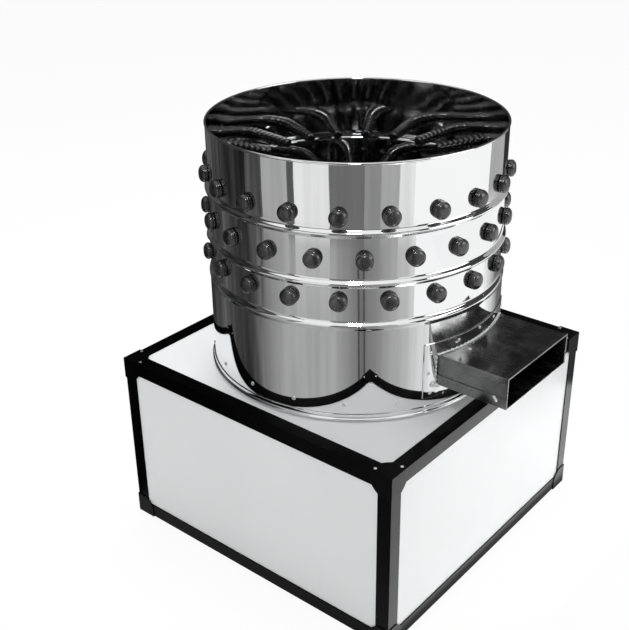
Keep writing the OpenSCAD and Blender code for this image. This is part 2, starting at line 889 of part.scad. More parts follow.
// A flange on the drum's face that frames the chute.
module chute_collar() {
  gap = seat;
  open_w = chute_w + 2 * chute_sheet + 2 * gap;
  open_h = chute_h + 2 * gap;
  collar_in = foot_r + seat;
  color([0.78, 0.79, 0.81])
    on_axis()
      intersection() {
        translate([0, 0, deck_z])
          difference() {
            cylinder(r = collar_in + collar_t, h = drum_h, $fn = 120);
            translate([0, 0, -1]) cylinder(r = collar_in, h = drum_h + 2, $fn = 120);
          }
        difference() {
          translate([0, -open_w / 2 - collar_w, deck_z + chute_floor - gap - collar_w])
            cube([mouth_x, open_w + 2 * collar_w, open_h + 2 * collar_w]);
          translate([-1, -open_w / 2, deck_z + chute_floor - gap]) cube([mouth_x, open_w, open_h]);
        }
      }
}

// Puts its children at each finger of a ring of the feather plate, clear of the sweepers.
module at_ring(count, r) {
  for (i = [0 : count - 1]) rotate([0, 0, (i + 0.5) * 360 / count]) translate([r, 0, 0]) children();
}

module at_hub_bolts() {
  for (a = [0 : 90 : 270]) rotate([0, 0, a]) translate([hub_bolt_r, 0, 0]) children();
}

module feather_plate() {
  color([0.8, 0.81, 0.83])
    on_axis()
      translate([0, 0, deck_z + plate_low])
        difference() {
          union() {
            cylinder(r = plate_r, h = plate_t, $fn = 120);
            translate([0, 0, plate_t - plate_lip])
              difference() {
                cylinder(r = plate_r, h = plate_lip, $fn = 120);
                translate([0, 0, -1]) cylinder(r = plate_r - plate_t, h = plate_lip, $fn = 120);
              }
          }
          translate([0, 0, -1]) {
            at_ring(outer_count, outer_ring_r) cylinder(d = finger_hole, h = plate_t + 2, $fn = 32);
            at_ring(middle_count, middle_ring_r) cylinder(d = finger_hole, h = plate_t + 2, $fn = 32);
            at_ring(inner_count, inner_ring_r) cylinder(d = finger_hole, h = plate_t + 2, $fn = 32);
            at_hub_bolts() cylinder(d = hub_bolt_d + 2 * bolt_gap, h = plate_t + 2, $fn = 32);
            cylinder(d = cap_bolt_d + 2 * bolt_gap, h = plate_t + 2);
          }
        }
}

// A ring of fingers that stand up through the feather plate, their heads below it.
module plate_fingers(count, r) {
  color([0.07, 0.07, 0.07])
    on_axis()
      translate([0, 0, deck_z + plate_low]) at_ring(count, r) mirror([0, 0, 1]) finger(plate_t);
}

module outer_plate_fingers() {
  plate_fingers(outer_count, outer_ring_r);
}

module middle_plate_fingers() {
  plate_fingers(middle_count, middle_ring_r);
}

module inner_plate_fingers() {
  plate_fingers(inner_count, inner_ring_r);
}

// Angle-section blades under the plate that push feathers round to the chute.
module feather_sweepers() {
  start = hub_flange_r + seat;
  length = sweeper_r - start;
  color([0.74, 0.75, 0.77])
    on_axis()
      translate([0, 0, deck_z + plate_low])
        for (i = [0 : sweeper_count - 1])
          rotate([0, 0, i * 360 / sweeper_count])
            translate([start, -sweeper_t / 2, 0]) {
              translate([0, 0, -sweeper_h]) cube([length, sweeper_t, sweeper_h]);
              translate([0, 0, -sweeper_t]) cube([length, sweeper_foot, sweeper_t]);
            }
}

module plate_hub() {
  hub_top = plate_low - hub_low;
  color([0.45, 0.46, 0.48])
    on_axis()
      translate([0, 0, deck_z + hub_low])
        difference() {
          union() {
            cylinder(r = hub_boss_r, h = hub_top);
            translate([0, 0, hub_top - hub_flange_t]) cylinder(r = hub_flange_r, h = hub_flange_t);
          }
          translate([0, 0, -1]) cylinder(r = shaft_d / 2 + tight, h = hub_top + 2);
          translate([0, 0, hub_top - hub_flange_t - 1])
            at_hub_bolts() cylinder(d = hub_bolt_d + 2 * bolt_gap, h = hub_flange_t + 2, $fn = 32);
        }
}

module hub_bolts() {
  color([0.75, 0.76, 0.78])
    on_axis()
      translate([0, 0, deck_z + plate_top])
        mirror([0, 0, 1]) at_hub_bolts() bolt(hub_bolt_d, plate_t + hub_flange_t);
}

// A domed cap on the plate over the end of the shaft, with a short upright edge.
module hub_cap() {
  edge_h = 2;
  dome_h = hub_cap_h - edge_h;
  dome_r = (hub_cap_r * hub_cap_r + dome_h * dome_h) / (2 * dome_h);
  color([0.8, 0.81, 0.83])
    on_axis()
      translate([0, 0, deck_z + plate_top])
        rotate_extrude()
          difference() {
            intersection() {
              square([hub_cap_r, hub_cap_h]);
              translate([0, hub_cap_h - dome_r]) circle(dome_r, $fn = 120);
            }
            translate([0, -1]) square([cap_bolt_d / 2 + bolt_gap, hub_cap_h + 2]);
          }
}

module hub_cap_bolt() {
  head_h = 0.65 * cap_bolt_d;
  color([0.75, 0.76, 0.78])
    on_axis()
      translate([0, 0, deck_z + plate_top + hub_cap_h]) {
        cylinder(r = 0.98 * cap_bolt_d, h = head_h, $fn = 6);
        translate([0, 0, -cap_bolt_grip]) cylinder(d = cap_bolt_d, h = cap_bolt_grip);
      }
}

// The shaft turns in both bearings and is thicker between them.
module drive_shaft() {
  shaft_top = deck_z + plate_low;
  mid_low = housing_low + bearing_w;
  mid_top = carrier_low - bearing_w;
  color([0.7, 0.71, 0.73])
    on_axis()
      difference() {
        union() {
          translate([0, 0, shaft_low]) cylinder(d = shaft_d, h = shaft_top - shaft_low);
          translate([0, 0, mid_low + seat])
            cylinder(d = shaft_mid_d, h = mid_top - mid_low - 2 * seat);
        }
        translate([0, 0, shaft_top - cap_bolt_grip])
          cylinder(r = cap_bolt_d / 2 + tight, h = cap_bolt_grip + 1);
      }
}

// The V-groove of a pulley of this radius, in section.
module groove_section(r) {
  half_out = groove_w / 2 + groove_slope;
  half_in = groove_w / 2 - groove_depth * groove_slope;
  polygon([
    [r + 1, -half_out],
    [r + 1, half_out],
    [r - groove_depth, half_in],
    [r - groove_depth, -half_in],
  ]);
}

module driven_pulley() {
  pulley_r = driven_od / 2;
  web_ring_r = (pulley_hub_r + pulley_r - pulley_rim) / 2;
  color([0.3, 0.31, 0.33])
    on_axis()
      translate([0, 0, belt_z])
        difference() {
          rotate_extrude($fn = 96)
            difference() {
              union() {
                translate([0, -pulley_hub_len / 2]) square([pulley_hub_r, pulley_hub_len]);
                translate([0, -pulley_web / 2]) square([pulley_r - 1, pulley_web]);
                translate([pulley_r - pulley_rim, -rim_w / 2]) square([pulley_rim, rim_w]);
              }
              translate([-1, -pulley_hub_len]) square([shaft_d / 2 + tight + 1, 2 * pulley_hub_len]);
              groove_section(pulley_r);
            }
          for (i = [0 : web_holes - 1])
            rotate([0, 0, i * 360 / web_holes])
              translate([web_ring_r, 0, -pulley_web]) cylinder(r = web_hole_r, h = 2 * pulley_web);
        }
}

module motor_pulley() {
  pulley_r = motor_pulley_od / 2;
  color([0.3, 0.31, 0.33])
    on_axis()
      translate([motor_x, 0, belt_z])
        rotate_extrude()
          difference() {
            translate([motor_shaft_d / 2 + tight, -rim_w / 2])
              square([pulley_r - motor_shaft_d / 2 - tight, rim_w]);
            groove_section(pulley_r);
          }
}

// The belt's section, with its outer face at this radius.
module belt_section(r) {
  half_out = groove_w / 2 - belt_drop * groove_slope - belt_gap;
  half_in = groove_w / 2 - (belt_drop + belt_h) * groove_slope - belt_gap;
  polygon([[r, -half_out], [r, half_out], [r - belt_h, half_in], [r - belt_h, -half_in]]);
}

// The belt lies round both pulleys, with a straight span on each side.
module v_belt() {
  color([0.05, 0.05, 0.05])
    on_axis()
      translate([0, 0, belt_z]) {
        rotate([0, 0, belt_turn - 180])
          rotate_extrude(angle = 360 - 2 * belt_turn, $fn = 120) belt_section(driven_belt_r);
        translate([motor_x, 0, 0])
          rotate([0, 0, 180 - belt_turn])
            rotate_extrude(angle = 2 * belt_turn) belt_section(motor_belt_r);
        for (side = [0, 1])
          mirror([0, side, 0])
            rotate([0, 0, 180 - belt_turn])
              translate([0, belt_span, 0])
                rotate([90, 0, 0]) linear_extrude(belt_span) belt_section(driven_belt_r);
      }
}

// An angle bracket bolted under the rear rail; its slots let the motor slide to tighten the belt.
module motor_bracket() {
  color([0.35, 0.36, 0.38])
    on_axis()
      difference() {
        union() {
          translate([motor_x - bracket_half, motor_axis_h, bracket_low])
            cube([2 * bracket_half, bracket_t, rail_low - bracket_low]);
          translate([motor_x - bracket_half, motor_axis_h, rail_low - bracket_t])
            cube([2 * bracket_half, rail_w, bracket_t]);
        }
        at_foot_bolts()
          translate([0, 0, foot_t - 1])
            rotate([0, 0, 90])
              slot(foot_bolt_d / 2 + bolt_gap, foot_bolt_d + slot_travel, bracket_t + 2);
        translate([0, 0, rail_low - bracket_t - 1])
          at_bracket_bolts() cylinder(d = rail_bolt_d + 2 * bolt_gap, h = bracket_t + 2);
      }
}

// The motor's body: radial cooling fins, feet towards +Y and a pad for the terminal box.
module motor_housing() {
  pad_half_x = 26;
  pad_half_z = 30;
  color([0.2, 0.32, 0.42])
    on_axis()
      difference() {
        translate([motor_x, 0, 0]) {
          translate([0, 0, motor_body_low])
            linear_extrude(motor_len) {
              circle(motor_core_r);
              for (i = [0 : fin_count - 1])
                rotate(i * 360 / fin_count)
                  translate([motor_core_r - 2, -fin_t / 2]) square([fin_r - motor_core_r + 2, fin_t]);
            }
          translate([-foot_half_x, motor_axis_h - foot_t, motor_mid - foot_half_z])
            cube([2 * foot_half_x, foot_t, 2 * foot_half_z]);
          translate([-foot_bolt_x + 14, 0, motor_mid - foot_half_z])
            cube([2 * foot_bolt_x - 28, motor_axis_h - foot_t + 1, 2 * foot_half_z]);
          translate([-pad_half_x, -fin_r - seat, motor_mid - pad_half_z])
            cube([2 * pad_half_x, fin_r, 2 * pad_half_z]);
        }
        translate([motor_x, 0, motor_body_low - 1])
          cylinder(d = motor_shaft_d + 2 * turn_gap, h = motor_len + 2);
        at_foot_bolts()
          translate([0, 0, -1]) cylinder(d = foot_bolt_d + 2 * bolt_gap, h = foot_t + 2);
      }
}

// An end bell that stands on z = 0, with a bearing boss on top.
module end_bell(boss_h) {
  boss_r = motor_shaft_d / 2 + 13;
  chamfer = 6;
  rotate_extrude()
    difference() {
      union() {
        polygon([[0, 0], [bell_r, 0], [bell_r, bell_t - chamfer], [motor_core_r, bell_t], [0, bell_t]]);
        square([boss_r, bell_t + boss_h]);
      }
      translate([-1, -1]) square([motor_shaft_d / 2 + running + 1, bell_t + boss_h + 2]);
    }
}

module motor_end_bells() {
  boss_h = 4;
  color([0.2, 0.32, 0.42])
    on_axis()
      translate([motor_x, 0, 0]) {
        translate([0, 0, motor_body_top]) end_bell(boss_h);
        translate([0, 0, motor_body_low]) mirror([0, 0, 1]) end_bell(boss_h);
      }
}

// A sheet cup over the fan, with radial air slots in its top.
module motor_fan_cover() {
  inside_r = bell_r + seat;
  slot_out = bell_r - 12;
  slot_in = 16;
  slot_count = 12;
  color([0.15, 0.16, 0.18])
    on_axis()
      translate([motor_x, 0, motor_top - fan_cover_lap])
        difference() {
          cylinder(r = fan_cover_r, h = fan_cover_h);
          translate([0, 0, -1]) cylinder(r = inside_r, h = fan_cover_h + 1 - fan_cover_t);
          for (i = [0 : slot_count - 1])
            rotate([0, 0, i * 360 / slot_count])
              translate([(slot_out + slot_in) / 2, 0, fan_cover_h - 2 * fan_cover_t])
                rotate([0, 0, 90]) slot(2.5, slot_out - slot_in, 3 * fan_cover_t);
        }
}

module motor_terminal_box() {
  box_w = 76;
  box_d = 34;
  box_h = 92;
  lid_t = 4;
  color([0.13, 0.14, 0.15])
    on_axis()
      translate([motor_x, -fin_r - seat, motor_mid]) {
        translate([-box_w / 2, -box_d, -box_h / 2]) cube([box_w, box_d, box_h]);
        translate([-box_w / 2 - 2, -box_d - lid_t, -box_h / 2 - 2]) cube([box_w + 4, lid_t, box_h + 4]);
      }
}

module motor_bolts() {
  color([0.75, 0.76, 0.78]) on_axis() at_foot_bolts() bolt(foot_bolt_d, foot_t + bracket_t);
}

module motor_shaft() {
  shaft_end = belt_z - rim_w / 2 - 3;
  color([0.7, 0.71, 0.73])
    on_axis()
      translate([motor_x, 0, shaft_end])
        cylinder(d = motor_shaft_d, h = fan_low + fan_h + 2 - shaft_end);
}

module motor_fan() {
  hub_r = motor_shaft_d / 2 + 7;
  color([0.1, 0.1, 0.11])
    on_axis()
      translate([motor_x, 0, fan_low])
        difference() {
          union() {
            cylinder(r = hub_r, h = fan_h);
            cylinder(r = fan_r - 4, h = 2);
            for (i = [0 : fan_blades - 1])
              rotate([0, 0, i * 360 / fan_blades])
                translate([hub_r - 1, -1, 0]) cube([fan_r - hub_r + 1, 2, fan_h]);
          }
          translate([0, 0, -1]) cylinder(r = motor_shaft_d / 2 + tight, h = fan_h + 2);
        }
}

// A slab with round corners, lying in X and Y on z = 0.
module rounded_slab(width, height, thick, r) {
  translate([-width / 2 + r, -height / 2, 0]) cube([width - 2 * r, height, thick]);
  translate([-width / 2, -height / 2 + r, 0]) cube([width, height - 2 * r, thick]);
  for (x = [-1, 1], y = [-1, 1])
    translate([x * (width / 2 - r), y * (height / 2 - r), 0]) cylinder(r = r, h = thick);
}

// Turns the left panel's outer face to z = 0, with +Z out of the panel and +Y up.
module on_left_panel(z) {
  on_axis() translate([-panel_out, switch_y, z]) rotate([0, -90, 0]) rotate([0, 0, -90]) children();
}

module switch_housing() {
  color([0.12, 0.12, 0.13])
    on_left_panel(switch_z)
      difference() {
        union() {
          rounded_slab(switch_w, switch_h, switch_face_t, switch_corner);
          translate([-switch_body_w / 2, -switch_body_h / 2, -switch_depth])
            cube([switch_body_w, switch_body_h, switch_depth + 1]);
        }
        for (side = [-1, 1])
          translate([0, side * button_pitch / 2, switch_face_t - button_bore_depth])
            cylinder(r = button_d / 2 + button_fit, h = button_bore_depth + 1);
      }
}

// A push button on this side of the middle of the switch's face, with a domed top.
module push_button(side) {
  dome_h = 1.5;
  on_left_panel(switch_z)
    translate([0, side * button_pitch / 2, switch_face_t + button_proud - button_len])
      rotate_extrude()
        polygon([
          [0, 0],
          [button_d / 2, 0],
          [button_d / 2, button_len - dome_h],
          [button_d / 2 - dome_h, button_len],
          [0, button_len],
        ]);
}

module start_button() {
  color([0.1, 0.55, 0.2]) push_button(1);
}

module stop_button() {
  color([0.8, 0.1, 0.08]) push_button(-1);
}

// A screwed cable gland: a hex flange outside, a domed nut, and a threaded tail through the panel.
module cable_gland() {
  dome_h = gland_proud - gland_flange;
  color([0.1, 0.1, 0.1])
    on_left_panel(gland_z)
      difference() {
        union() {
          cylinder(d = gland_d, h = gland_flange, $fn = 6);
          translate([0, 0, gland_flange])
            rotate_extrude()
              polygon([
                [0, 0],
                [gland_d / 2 - 2, 0],
                [gland_d / 2 - 2, dome_h / 2],
                [gland_bore / 2 + 2.5, dome_h],
                [0, dome_h],
              ]);
          translate([0, 0, -gland_tail]) cylinder(r = gland_thread_r, h = gland_tail + 1);
          translate([0, 0, -panel_t - 5]) cylinder(d = gland_d, h = 5, $fn = 6);
        }
        translate([0, 0, -gland_tail - 1]) cylinder(d = gland_bore, h = gland_tail + gland_proud + 2);
      }
}

top_frame();
bottom_frame();
corner_posts();
top_corner_caps();
bottom_corner_caps();
top_panel();
front_panel();
back_panel();
left_panel();
right_panel();
floor_panel();
front_cross_rail();
rear_cross_rail();
carrier_plate();
rail_bolts();
spindle_housing();
upper_bearing();
lower_bearing();
spindle_bolts();
drum_shell();
bottom_row_shell();
middle_row_shell();
top_row_shell();
drum_base_ring();
drum_floor();
floor_neck();
shaft_seal();
top_wall_fingers();
middle_wall_fingers();
bottom_wall_fingers();
chute_hood();
chute_tray();
chute_collar();
motor_bracket();
motor_housing();
motor_end_bells();
motor_fan_cover();
motor_terminal_box();
motor_bolts();
v_belt();
switch_housing();
cable_gland();
feather_plate();
outer_plate_fingers();
middle_plate_fingers();
inner_plate_fingers();
feather_sweepers();
plate_hub();
hub_bolts();
hub_cap();
hub_cap_bolt();
drive_shaft();
driven_pulley();
motor_shaft();
motor_pulley();
motor_fan();
start_button();
stop_button();
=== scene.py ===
"""Looks of the drum poultry plucker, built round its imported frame. Lengths are in metres."""
import json
from math import atan2, cos, degrees, pi, radians, sin

import bpy
from mathutils import Matrix, Vector


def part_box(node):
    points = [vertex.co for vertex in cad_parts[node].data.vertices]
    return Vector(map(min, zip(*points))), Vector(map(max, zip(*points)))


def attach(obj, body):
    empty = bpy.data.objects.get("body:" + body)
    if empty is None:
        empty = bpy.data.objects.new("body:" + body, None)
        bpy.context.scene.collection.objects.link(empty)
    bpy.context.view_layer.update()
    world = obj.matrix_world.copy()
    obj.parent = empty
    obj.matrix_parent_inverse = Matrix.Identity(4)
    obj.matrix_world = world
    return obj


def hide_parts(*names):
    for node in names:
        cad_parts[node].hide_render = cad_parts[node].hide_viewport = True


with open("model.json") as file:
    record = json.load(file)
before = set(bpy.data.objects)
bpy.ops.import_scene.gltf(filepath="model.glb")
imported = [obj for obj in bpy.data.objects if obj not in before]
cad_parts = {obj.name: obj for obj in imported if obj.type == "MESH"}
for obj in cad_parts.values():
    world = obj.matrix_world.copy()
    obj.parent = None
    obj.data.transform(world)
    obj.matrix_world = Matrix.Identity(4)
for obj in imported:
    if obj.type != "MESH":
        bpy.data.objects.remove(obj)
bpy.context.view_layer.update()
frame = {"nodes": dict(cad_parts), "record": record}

# Places read from the frame
ring_low, ring_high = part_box("drum_base_ring")
AXIS_X = (ring_low.x + ring_high.x) / 2
DECK = ring_low.z
DRUM_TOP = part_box("top_row_shell")[1].z
cap_low, cap_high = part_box("top_corner_caps")
CABINET_HALF = (cap_high.y - cap_low.y) / 2
CABINET_TOP = cap_high.z
hood_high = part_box("chute_hood")[1]
tray_low, tray_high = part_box("chute_tray")


def row_height(node):
    """The height of a row of wall fingers."""
    low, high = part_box(node)
    return (low.z + high.z) / 2


ROW_HEIGHTS = [row_height(row + "_wall_fingers") for row in ("bottom", "middle", "top")]

# The drum's sheet: outer radii over and under the lowest bead, and how far a bead swells up and down
SHEET = 0.002
DRUM_R = 0.252
FOOT_R = 0.257
RIM_R = 0.0022
BEAD_UP = 0.009
BEAD_DOWN = 0.0074
BEAD_HEIGHTS = (ROW_HEIGHTS[0] - 0.0425, ROW_HEIGHTS[0] + 0.029, ROW_HEIGHTS[2] - 0.027)
DRUM_STEPS = 288

# The chute's sheet, and half the width of the chute inside and of the drum's opening
CHUTE_SHEET = 0.0015
CHUTE_HALF = hood_high.y - CHUTE_SHEET
OPENING_HALF = CHUTE_HALF - CHUTE_SHEET

# The gap between two pieces that seat on each other
SEAT = 0.0003


# Selecting and modelling

def select_only(piece):
    """Selects one piece and makes it the active one."""
    bpy.ops.object.select_all(action="DESELECT")
    piece.select_set(True)
    bpy.context.view_layer.objects.active = piece


def edit(piece):
    """Opens a piece for editing with all of its mesh selected."""
    select_only(piece)
    bpy.ops.object.mode_set(mode="EDIT")
    bpy.ops.mesh.select_all(action="SELECT")


def leave_edit():
    """Goes back from editing to whole pieces."""
    bpy.ops.object.mode_set(mode="OBJECT")


def settle(piece):
    """Puts the piece's place, turn and size into its mesh."""
    select_only(piece)
    bpy.ops.object.transform_apply(location=True, rotation=True, scale=True)


def smooth(piece, angle):
    """Shades a piece smooth over edges up to this angle."""
    select_only(piece)
    bpy.ops.object.shade_smooth_by_angle(angle=radians(angle))


def add_modifier(piece, kind, **values):
    """Adds a modifier with these values and applies it."""
    select_only(piece)
    modifier = piece.modifiers.new(kind.title(), kind)
    for name, value in values.items():
        setattr(modifier, name, value)
    bpy.ops.object.modifier_apply(modifier=modifier.name)


def delete_faces(piece, inside):
    """Deletes the faces whose middle is inside, which is a test of a point."""
    edit(piece)
    bpy.ops.mesh.select_all(action="DESELECT")
    leave_edit()
    for face in piece.data.polygons:
        face.select = inside(face.center)
    bpy.ops.object.mode_set(mode="EDIT")
    bpy.ops.mesh.select_mode(type="FACE")
    bpy.ops.mesh.delete(type="FACE")
    bpy.ops.mesh.select_mode(type="VERT")
    leave_edit()


def lathe(name, outline, steps):
    """Spins an outline of (radius, height) points about the Z axis."""
    bpy.ops.object.select_all(action="DESELECT")
    bpy.ops.mesh.primitive_plane_add(size=0.001)
    piece = bpy.context.object
    piece.name = name
    bpy.ops.object.mode_set(mode="EDIT")
    bpy.ops.mesh.merge(type="CENTER")
    bpy.ops.transform.translate(value=(outline[0][0], 0, outline[0][1]))
    for (r0, z0), (r1, z1) in zip(outline, outline[1:]):
        bpy.ops.mesh.extrude_vertices_move(TRANSFORM_OT_translate={"value": (r1 - r0, 0, z1 - z0)})
    bpy.ops.mesh.select_all(action="SELECT")
    bpy.ops.mesh.spin(steps=steps, angle=2 * pi, center=(0, 0, 0), axis=(0, 0, 1))
    bpy.ops.mesh.select_all(action="SELECT")
    bpy.ops.mesh.remove_doubles(threshold=0.000002)
    bpy.ops.mesh.normals_make_consistent(inside=False)
    leave_edit()
    return piece


def copies(piece, places, name):
    """Copies a piece to each of these places and joins the copies into one mesh."""
    made = []
    for place in places:
        select_only(piece)
        bpy.ops.object.duplicate(linked=False)
        copy = bpy.context.object
        copy.matrix_world = place
        made.append(copy)
    bpy.data.objects.remove(piece)
    bpy.ops.object.select_all(action="DESELECT")
    for copy in made:
        copy.select_set(True)
    bpy.context.view_layer.objects.active = made[0]
    bpy.ops.object.join()
    whole = bpy.context.object
    whole.name = name
    settle(whole)
    return whole


def refined(node, edge, material, body="cabinet"):
    """A copy of a CAD node with merged faces and rounded edges, which stands for the node."""
    select_only(frame["nodes"][node])
    bpy.ops.object.duplicate(linked=False)
    piece = bpy.context.object
    piece.name = node.replace("_", "-")
    for key in list(piece.keys()):
        del piece[key]
    piece.parent = None
    edit(piece)
    bpy.ops.mesh.remove_doubles(threshold=0.00001)
    bpy.ops.mesh.dissolve_limited(angle_limit=radians(0.5))
    leave_edit()
    add_modifier(
        piece, "BEVEL", width=edge, segments=2, limit_method="ANGLE",
        angle_limit=radians(50), harden_normals=False, use_clamp_overlap=True,
    )
    smooth(piece, 18)
    finish_piece(piece, material, body, node)


def finish_piece(piece, material, body, *nodes):
    """Gives a piece its material and body, and hides the CAD nodes that it stands for."""
    piece.data.materials.clear()
    piece.data.materials.append(MATERIALS[material])
    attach(piece, body)
    if nodes:
        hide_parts(*nodes)


def around(angle, radius, height, tilt=0):
    """A place on the drum: turned about its axis, and out to this radius and height."""
    return (
        Matrix.Translation((AXIS_X, 0, 0))
        @ Matrix.Rotation(radians(angle), 4, "Z")
        @ Matrix.Translation((radius, 0, height))
        @ Matrix.Rotation(radians(tilt), 4, "Y")
    )


# Materials

def new_material(name):
    """A new material with its nodes and links."""
    material = bpy.data.materials.new(name)
    material.use_nodes = True
    return material, material.node_tree.nodes, material.node_tree.links


def compute(nodes, links, kind, first, second=None):
    """A math node of this kind, on numbers or on other nodes' outputs."""
    node = nodes.new("ShaderNodeMath")
    node.operation = kind
    for socket, value in zip(node.inputs, (first, second)):
        if isinstance(value, (int, float)):
            socket.default_value = value
        elif value is not None:
            links.new(value, socket)
    return node.outputs[0]


def object_noise(nodes, links, scale, detail, stretch=(1, 1, 1)):
    """Noise on the object's own coordinates, with a scale of its own along each axis."""
    coordinates = nodes.new("ShaderNodeTexCoord")
    mapping = nodes.new("ShaderNodeMapping")
    mapping.inputs["Scale"].default_value = stretch
    noise = nodes.new("ShaderNodeTexNoise")
    noise.inputs["Scale"].default_value = scale
    noise.inputs["Detail"].default_value = detail
    links.new(coordinates.outputs["Object"], mapping.inputs["Vector"])
    links.new(mapping.outputs["Vector"], noise.inputs["Vector"])
    return noise.outputs["Fac"]


def ramp(nodes, links, value, stops, kind="LINEAR"):
    """A colour ramp of (place, grey or colour) stops."""
    node = nodes.new("ShaderNodeValToRGB")
    node.color_ramp.interpolation = kind
    elements = node.color_ramp.elements
    while len(elements) < len(stops):
        elements.new(0.5)
    for element, (place, colour) in zip(elements, stops):
        if isinstance(colour, (int, float)):
            colour = (colour, colour, colour)
        element.position = place
        element.color = (*colour, 1)
    links.new(value, node.inputs["Fac"])
    return node.outputs["Color"]


def mixed(nodes, links, share, first, second):
    """A colour between two, as far towards the second as the share says."""
    mix = nodes.new("ShaderNodeMix")
    mix.data_type = "RGBA"
    links.new(share, mix.inputs["Factor"])
    links.new(first, mix.inputs["A"])
    links.new(second, mix.inputs["B"])
    return mix.outputs["Result"]


def bump(nodes, links, value, distance, strength=1.0, normal=None):
    """A normal that follows this value as a height, on top of another normal if one is given."""
    node = nodes.new("ShaderNodeBump")
    node.inputs["Distance"].default_value = distance
    node.inputs["Strength"].default_value = strength
    links.new(value, node.inputs["Height"])
    if normal is not None:
        links.new(normal, node.inputs["Normal"])
    return node.outputs["Normal"]


def steel(name, grey, rough, wave=0.0012, smudge=0.05):
    """Stainless sheet: a slow waviness, fine streaks from rolling and smudges."""
    material, nodes, links = new_material(name)
    shader = nodes["Principled BSDF"]
    shader.inputs["Metallic"].default_value = 1
    tint = ramp(nodes, links, object_noise(nodes, links, 7, 2), [
        (0.3, (grey * 0.95, grey * 0.955, grey * 0.965)),
        (0.7, (grey, grey, grey * 1.005)),
    ])
    links.new(tint, shader.inputs["Base Color"])
    smear = object_noise(nodes, links, 9, 5)
    links.new(
        ramp(nodes, links, smear, [(0.35, rough), (0.62, rough + smudge * 0.35), (0.8, rough + smudge)]),
        shader.inputs["Roughness"],
    )
    slow = bump(nodes, links, object_noise(nodes, links, 5, 1.5), wave)
    streaks = object_noise(nodes, links, 25, 4, (40, 40, 1.5))
    fine = bump(nodes, links, streaks, 0.00001, 0.6, slow)
    links.new(fine, shader.inputs["Normal"])
    return material


def finger_rubber_material():
    """Moulded rubber: dusty outside the drum, and darker inside it, where the darker colour is painted
    shade.
    """
    material, nodes, links = new_material("finger rubber")
    shader = nodes["Principled BSDF"]
    dust = ramp(nodes, links, object_noise(nodes, links, 75, 6), [(0.36, 0.003), (0.66, 0.03)])
    patch = ramp(nodes, links, object_noise(nodes, links, 11, 1), [(0.57, 0.0), (0.68, 0.06)])
    dusty = nodes.new("ShaderNodeVectorMath")
    dusty.operation = "ADD"
    links.new(dust, dusty.inputs[0])
    links.new(patch, dusty.inputs[1])
    # Inside the drum the rubber's colour is painted darker: painted shade for the drum's hollow, not a
    # cleaner rubber
    painted_inner_shade = ramp(nodes, links, object_noise(nodes, links, 40, 5), [(0.35, 0.002), (0.7, 0.007)])
    shader.inputs["Specular IOR Level"].default_value = 1.0

    # How far a point is from the drum's axis tells whether it is outside
    coordinates = nodes.new("ShaderNodeTexCoord")
    from_axis = nodes.new("ShaderNodeVectorMath")
    from_axis.operation = "SUBTRACT"
    from_axis.inputs[1].default_value = (AXIS_X, 0, 0)
    flat = nodes.new("ShaderNodeVectorMath")
    flat.operation = "MULTIPLY"
    flat.inputs[1].default_value = (1, 1, 0)
    radius = nodes.new("ShaderNodeVectorMath")
    radius.operation = "LENGTH"
    links.new(coordinates.outputs["Object"], from_axis.inputs[0])
    links.new(from_axis.outputs["Vector"], flat.inputs[0])
    links.new(flat.outputs["Vector"], radius.inputs[0])
    outside = compute(nodes, links, "GREATER_THAN", radius.outputs["Value"], DRUM_R - SHEET)

    links.new(mixed(nodes, links, outside, painted_inner_shade, dusty.outputs["Vector"]), shader.inputs["Base Color"])
    links.new(ramp(nodes, links, outside, [(0.2, 0.13), (0.8, 0.27)]), shader.inputs["Roughness"])
    coarse = bump(nodes, links, object_noise(nodes, links, 130, 3), 0.00018, 0.5)
    grain = bump(nodes, links, object_noise(nodes, links, 900, 2), 0.00006, 0.6, coarse)
    links.new(grain, shader.inputs["Normal"])
    return material


def rubber(name, dark, light, rough):
    """Plain black rubber with a fine grain."""
    material, nodes, links = new_material(name)
    shader = nodes["Principled BSDF"]
    uneven = object_noise(nodes, links, 70, 6)
    links.new(ramp(nodes, links, uneven, [(0.38, dark), (0.72, light)]), shader.inputs["Base Color"])
    shader.inputs["Roughness"].default_value = rough
    links.new(bump(nodes, links, object_noise(nodes, links, 900, 2), 0.00008, 0.6), shader.inputs["Normal"])
    return material


def paint(name, colour, rough, peel=0.00002, mottle=0.03, metallic=0.0, shine=0.5):
    """Paint or moulded plastic: a faint unevenness of colour and an orange peel."""
    material, nodes, links = new_material(name)
    shader = nodes["Principled BSDF"]
    darker = tuple(c * (1 - mottle) for c in colour)
    uneven = object_noise(nodes, links, 6, 5)
    links.new(ramp(nodes, links, uneven, [(0.3, darker), (0.7, colour)]), shader.inputs["Base Color"])
    links.new(
        ramp(nodes, links, object_noise(nodes, links, 14, 6), [(0.3, rough), (0.75, rough + 0.12)]),
        shader.inputs["Roughness"],
    )
    shader.inputs["Metallic"].default_value = metallic
    shader.inputs["Specular IOR Level"].default_value = shine
    links.new(bump(nodes, links, object_noise(nodes, links, 700, 2), peel), shader.inputs["Normal"])
    return material


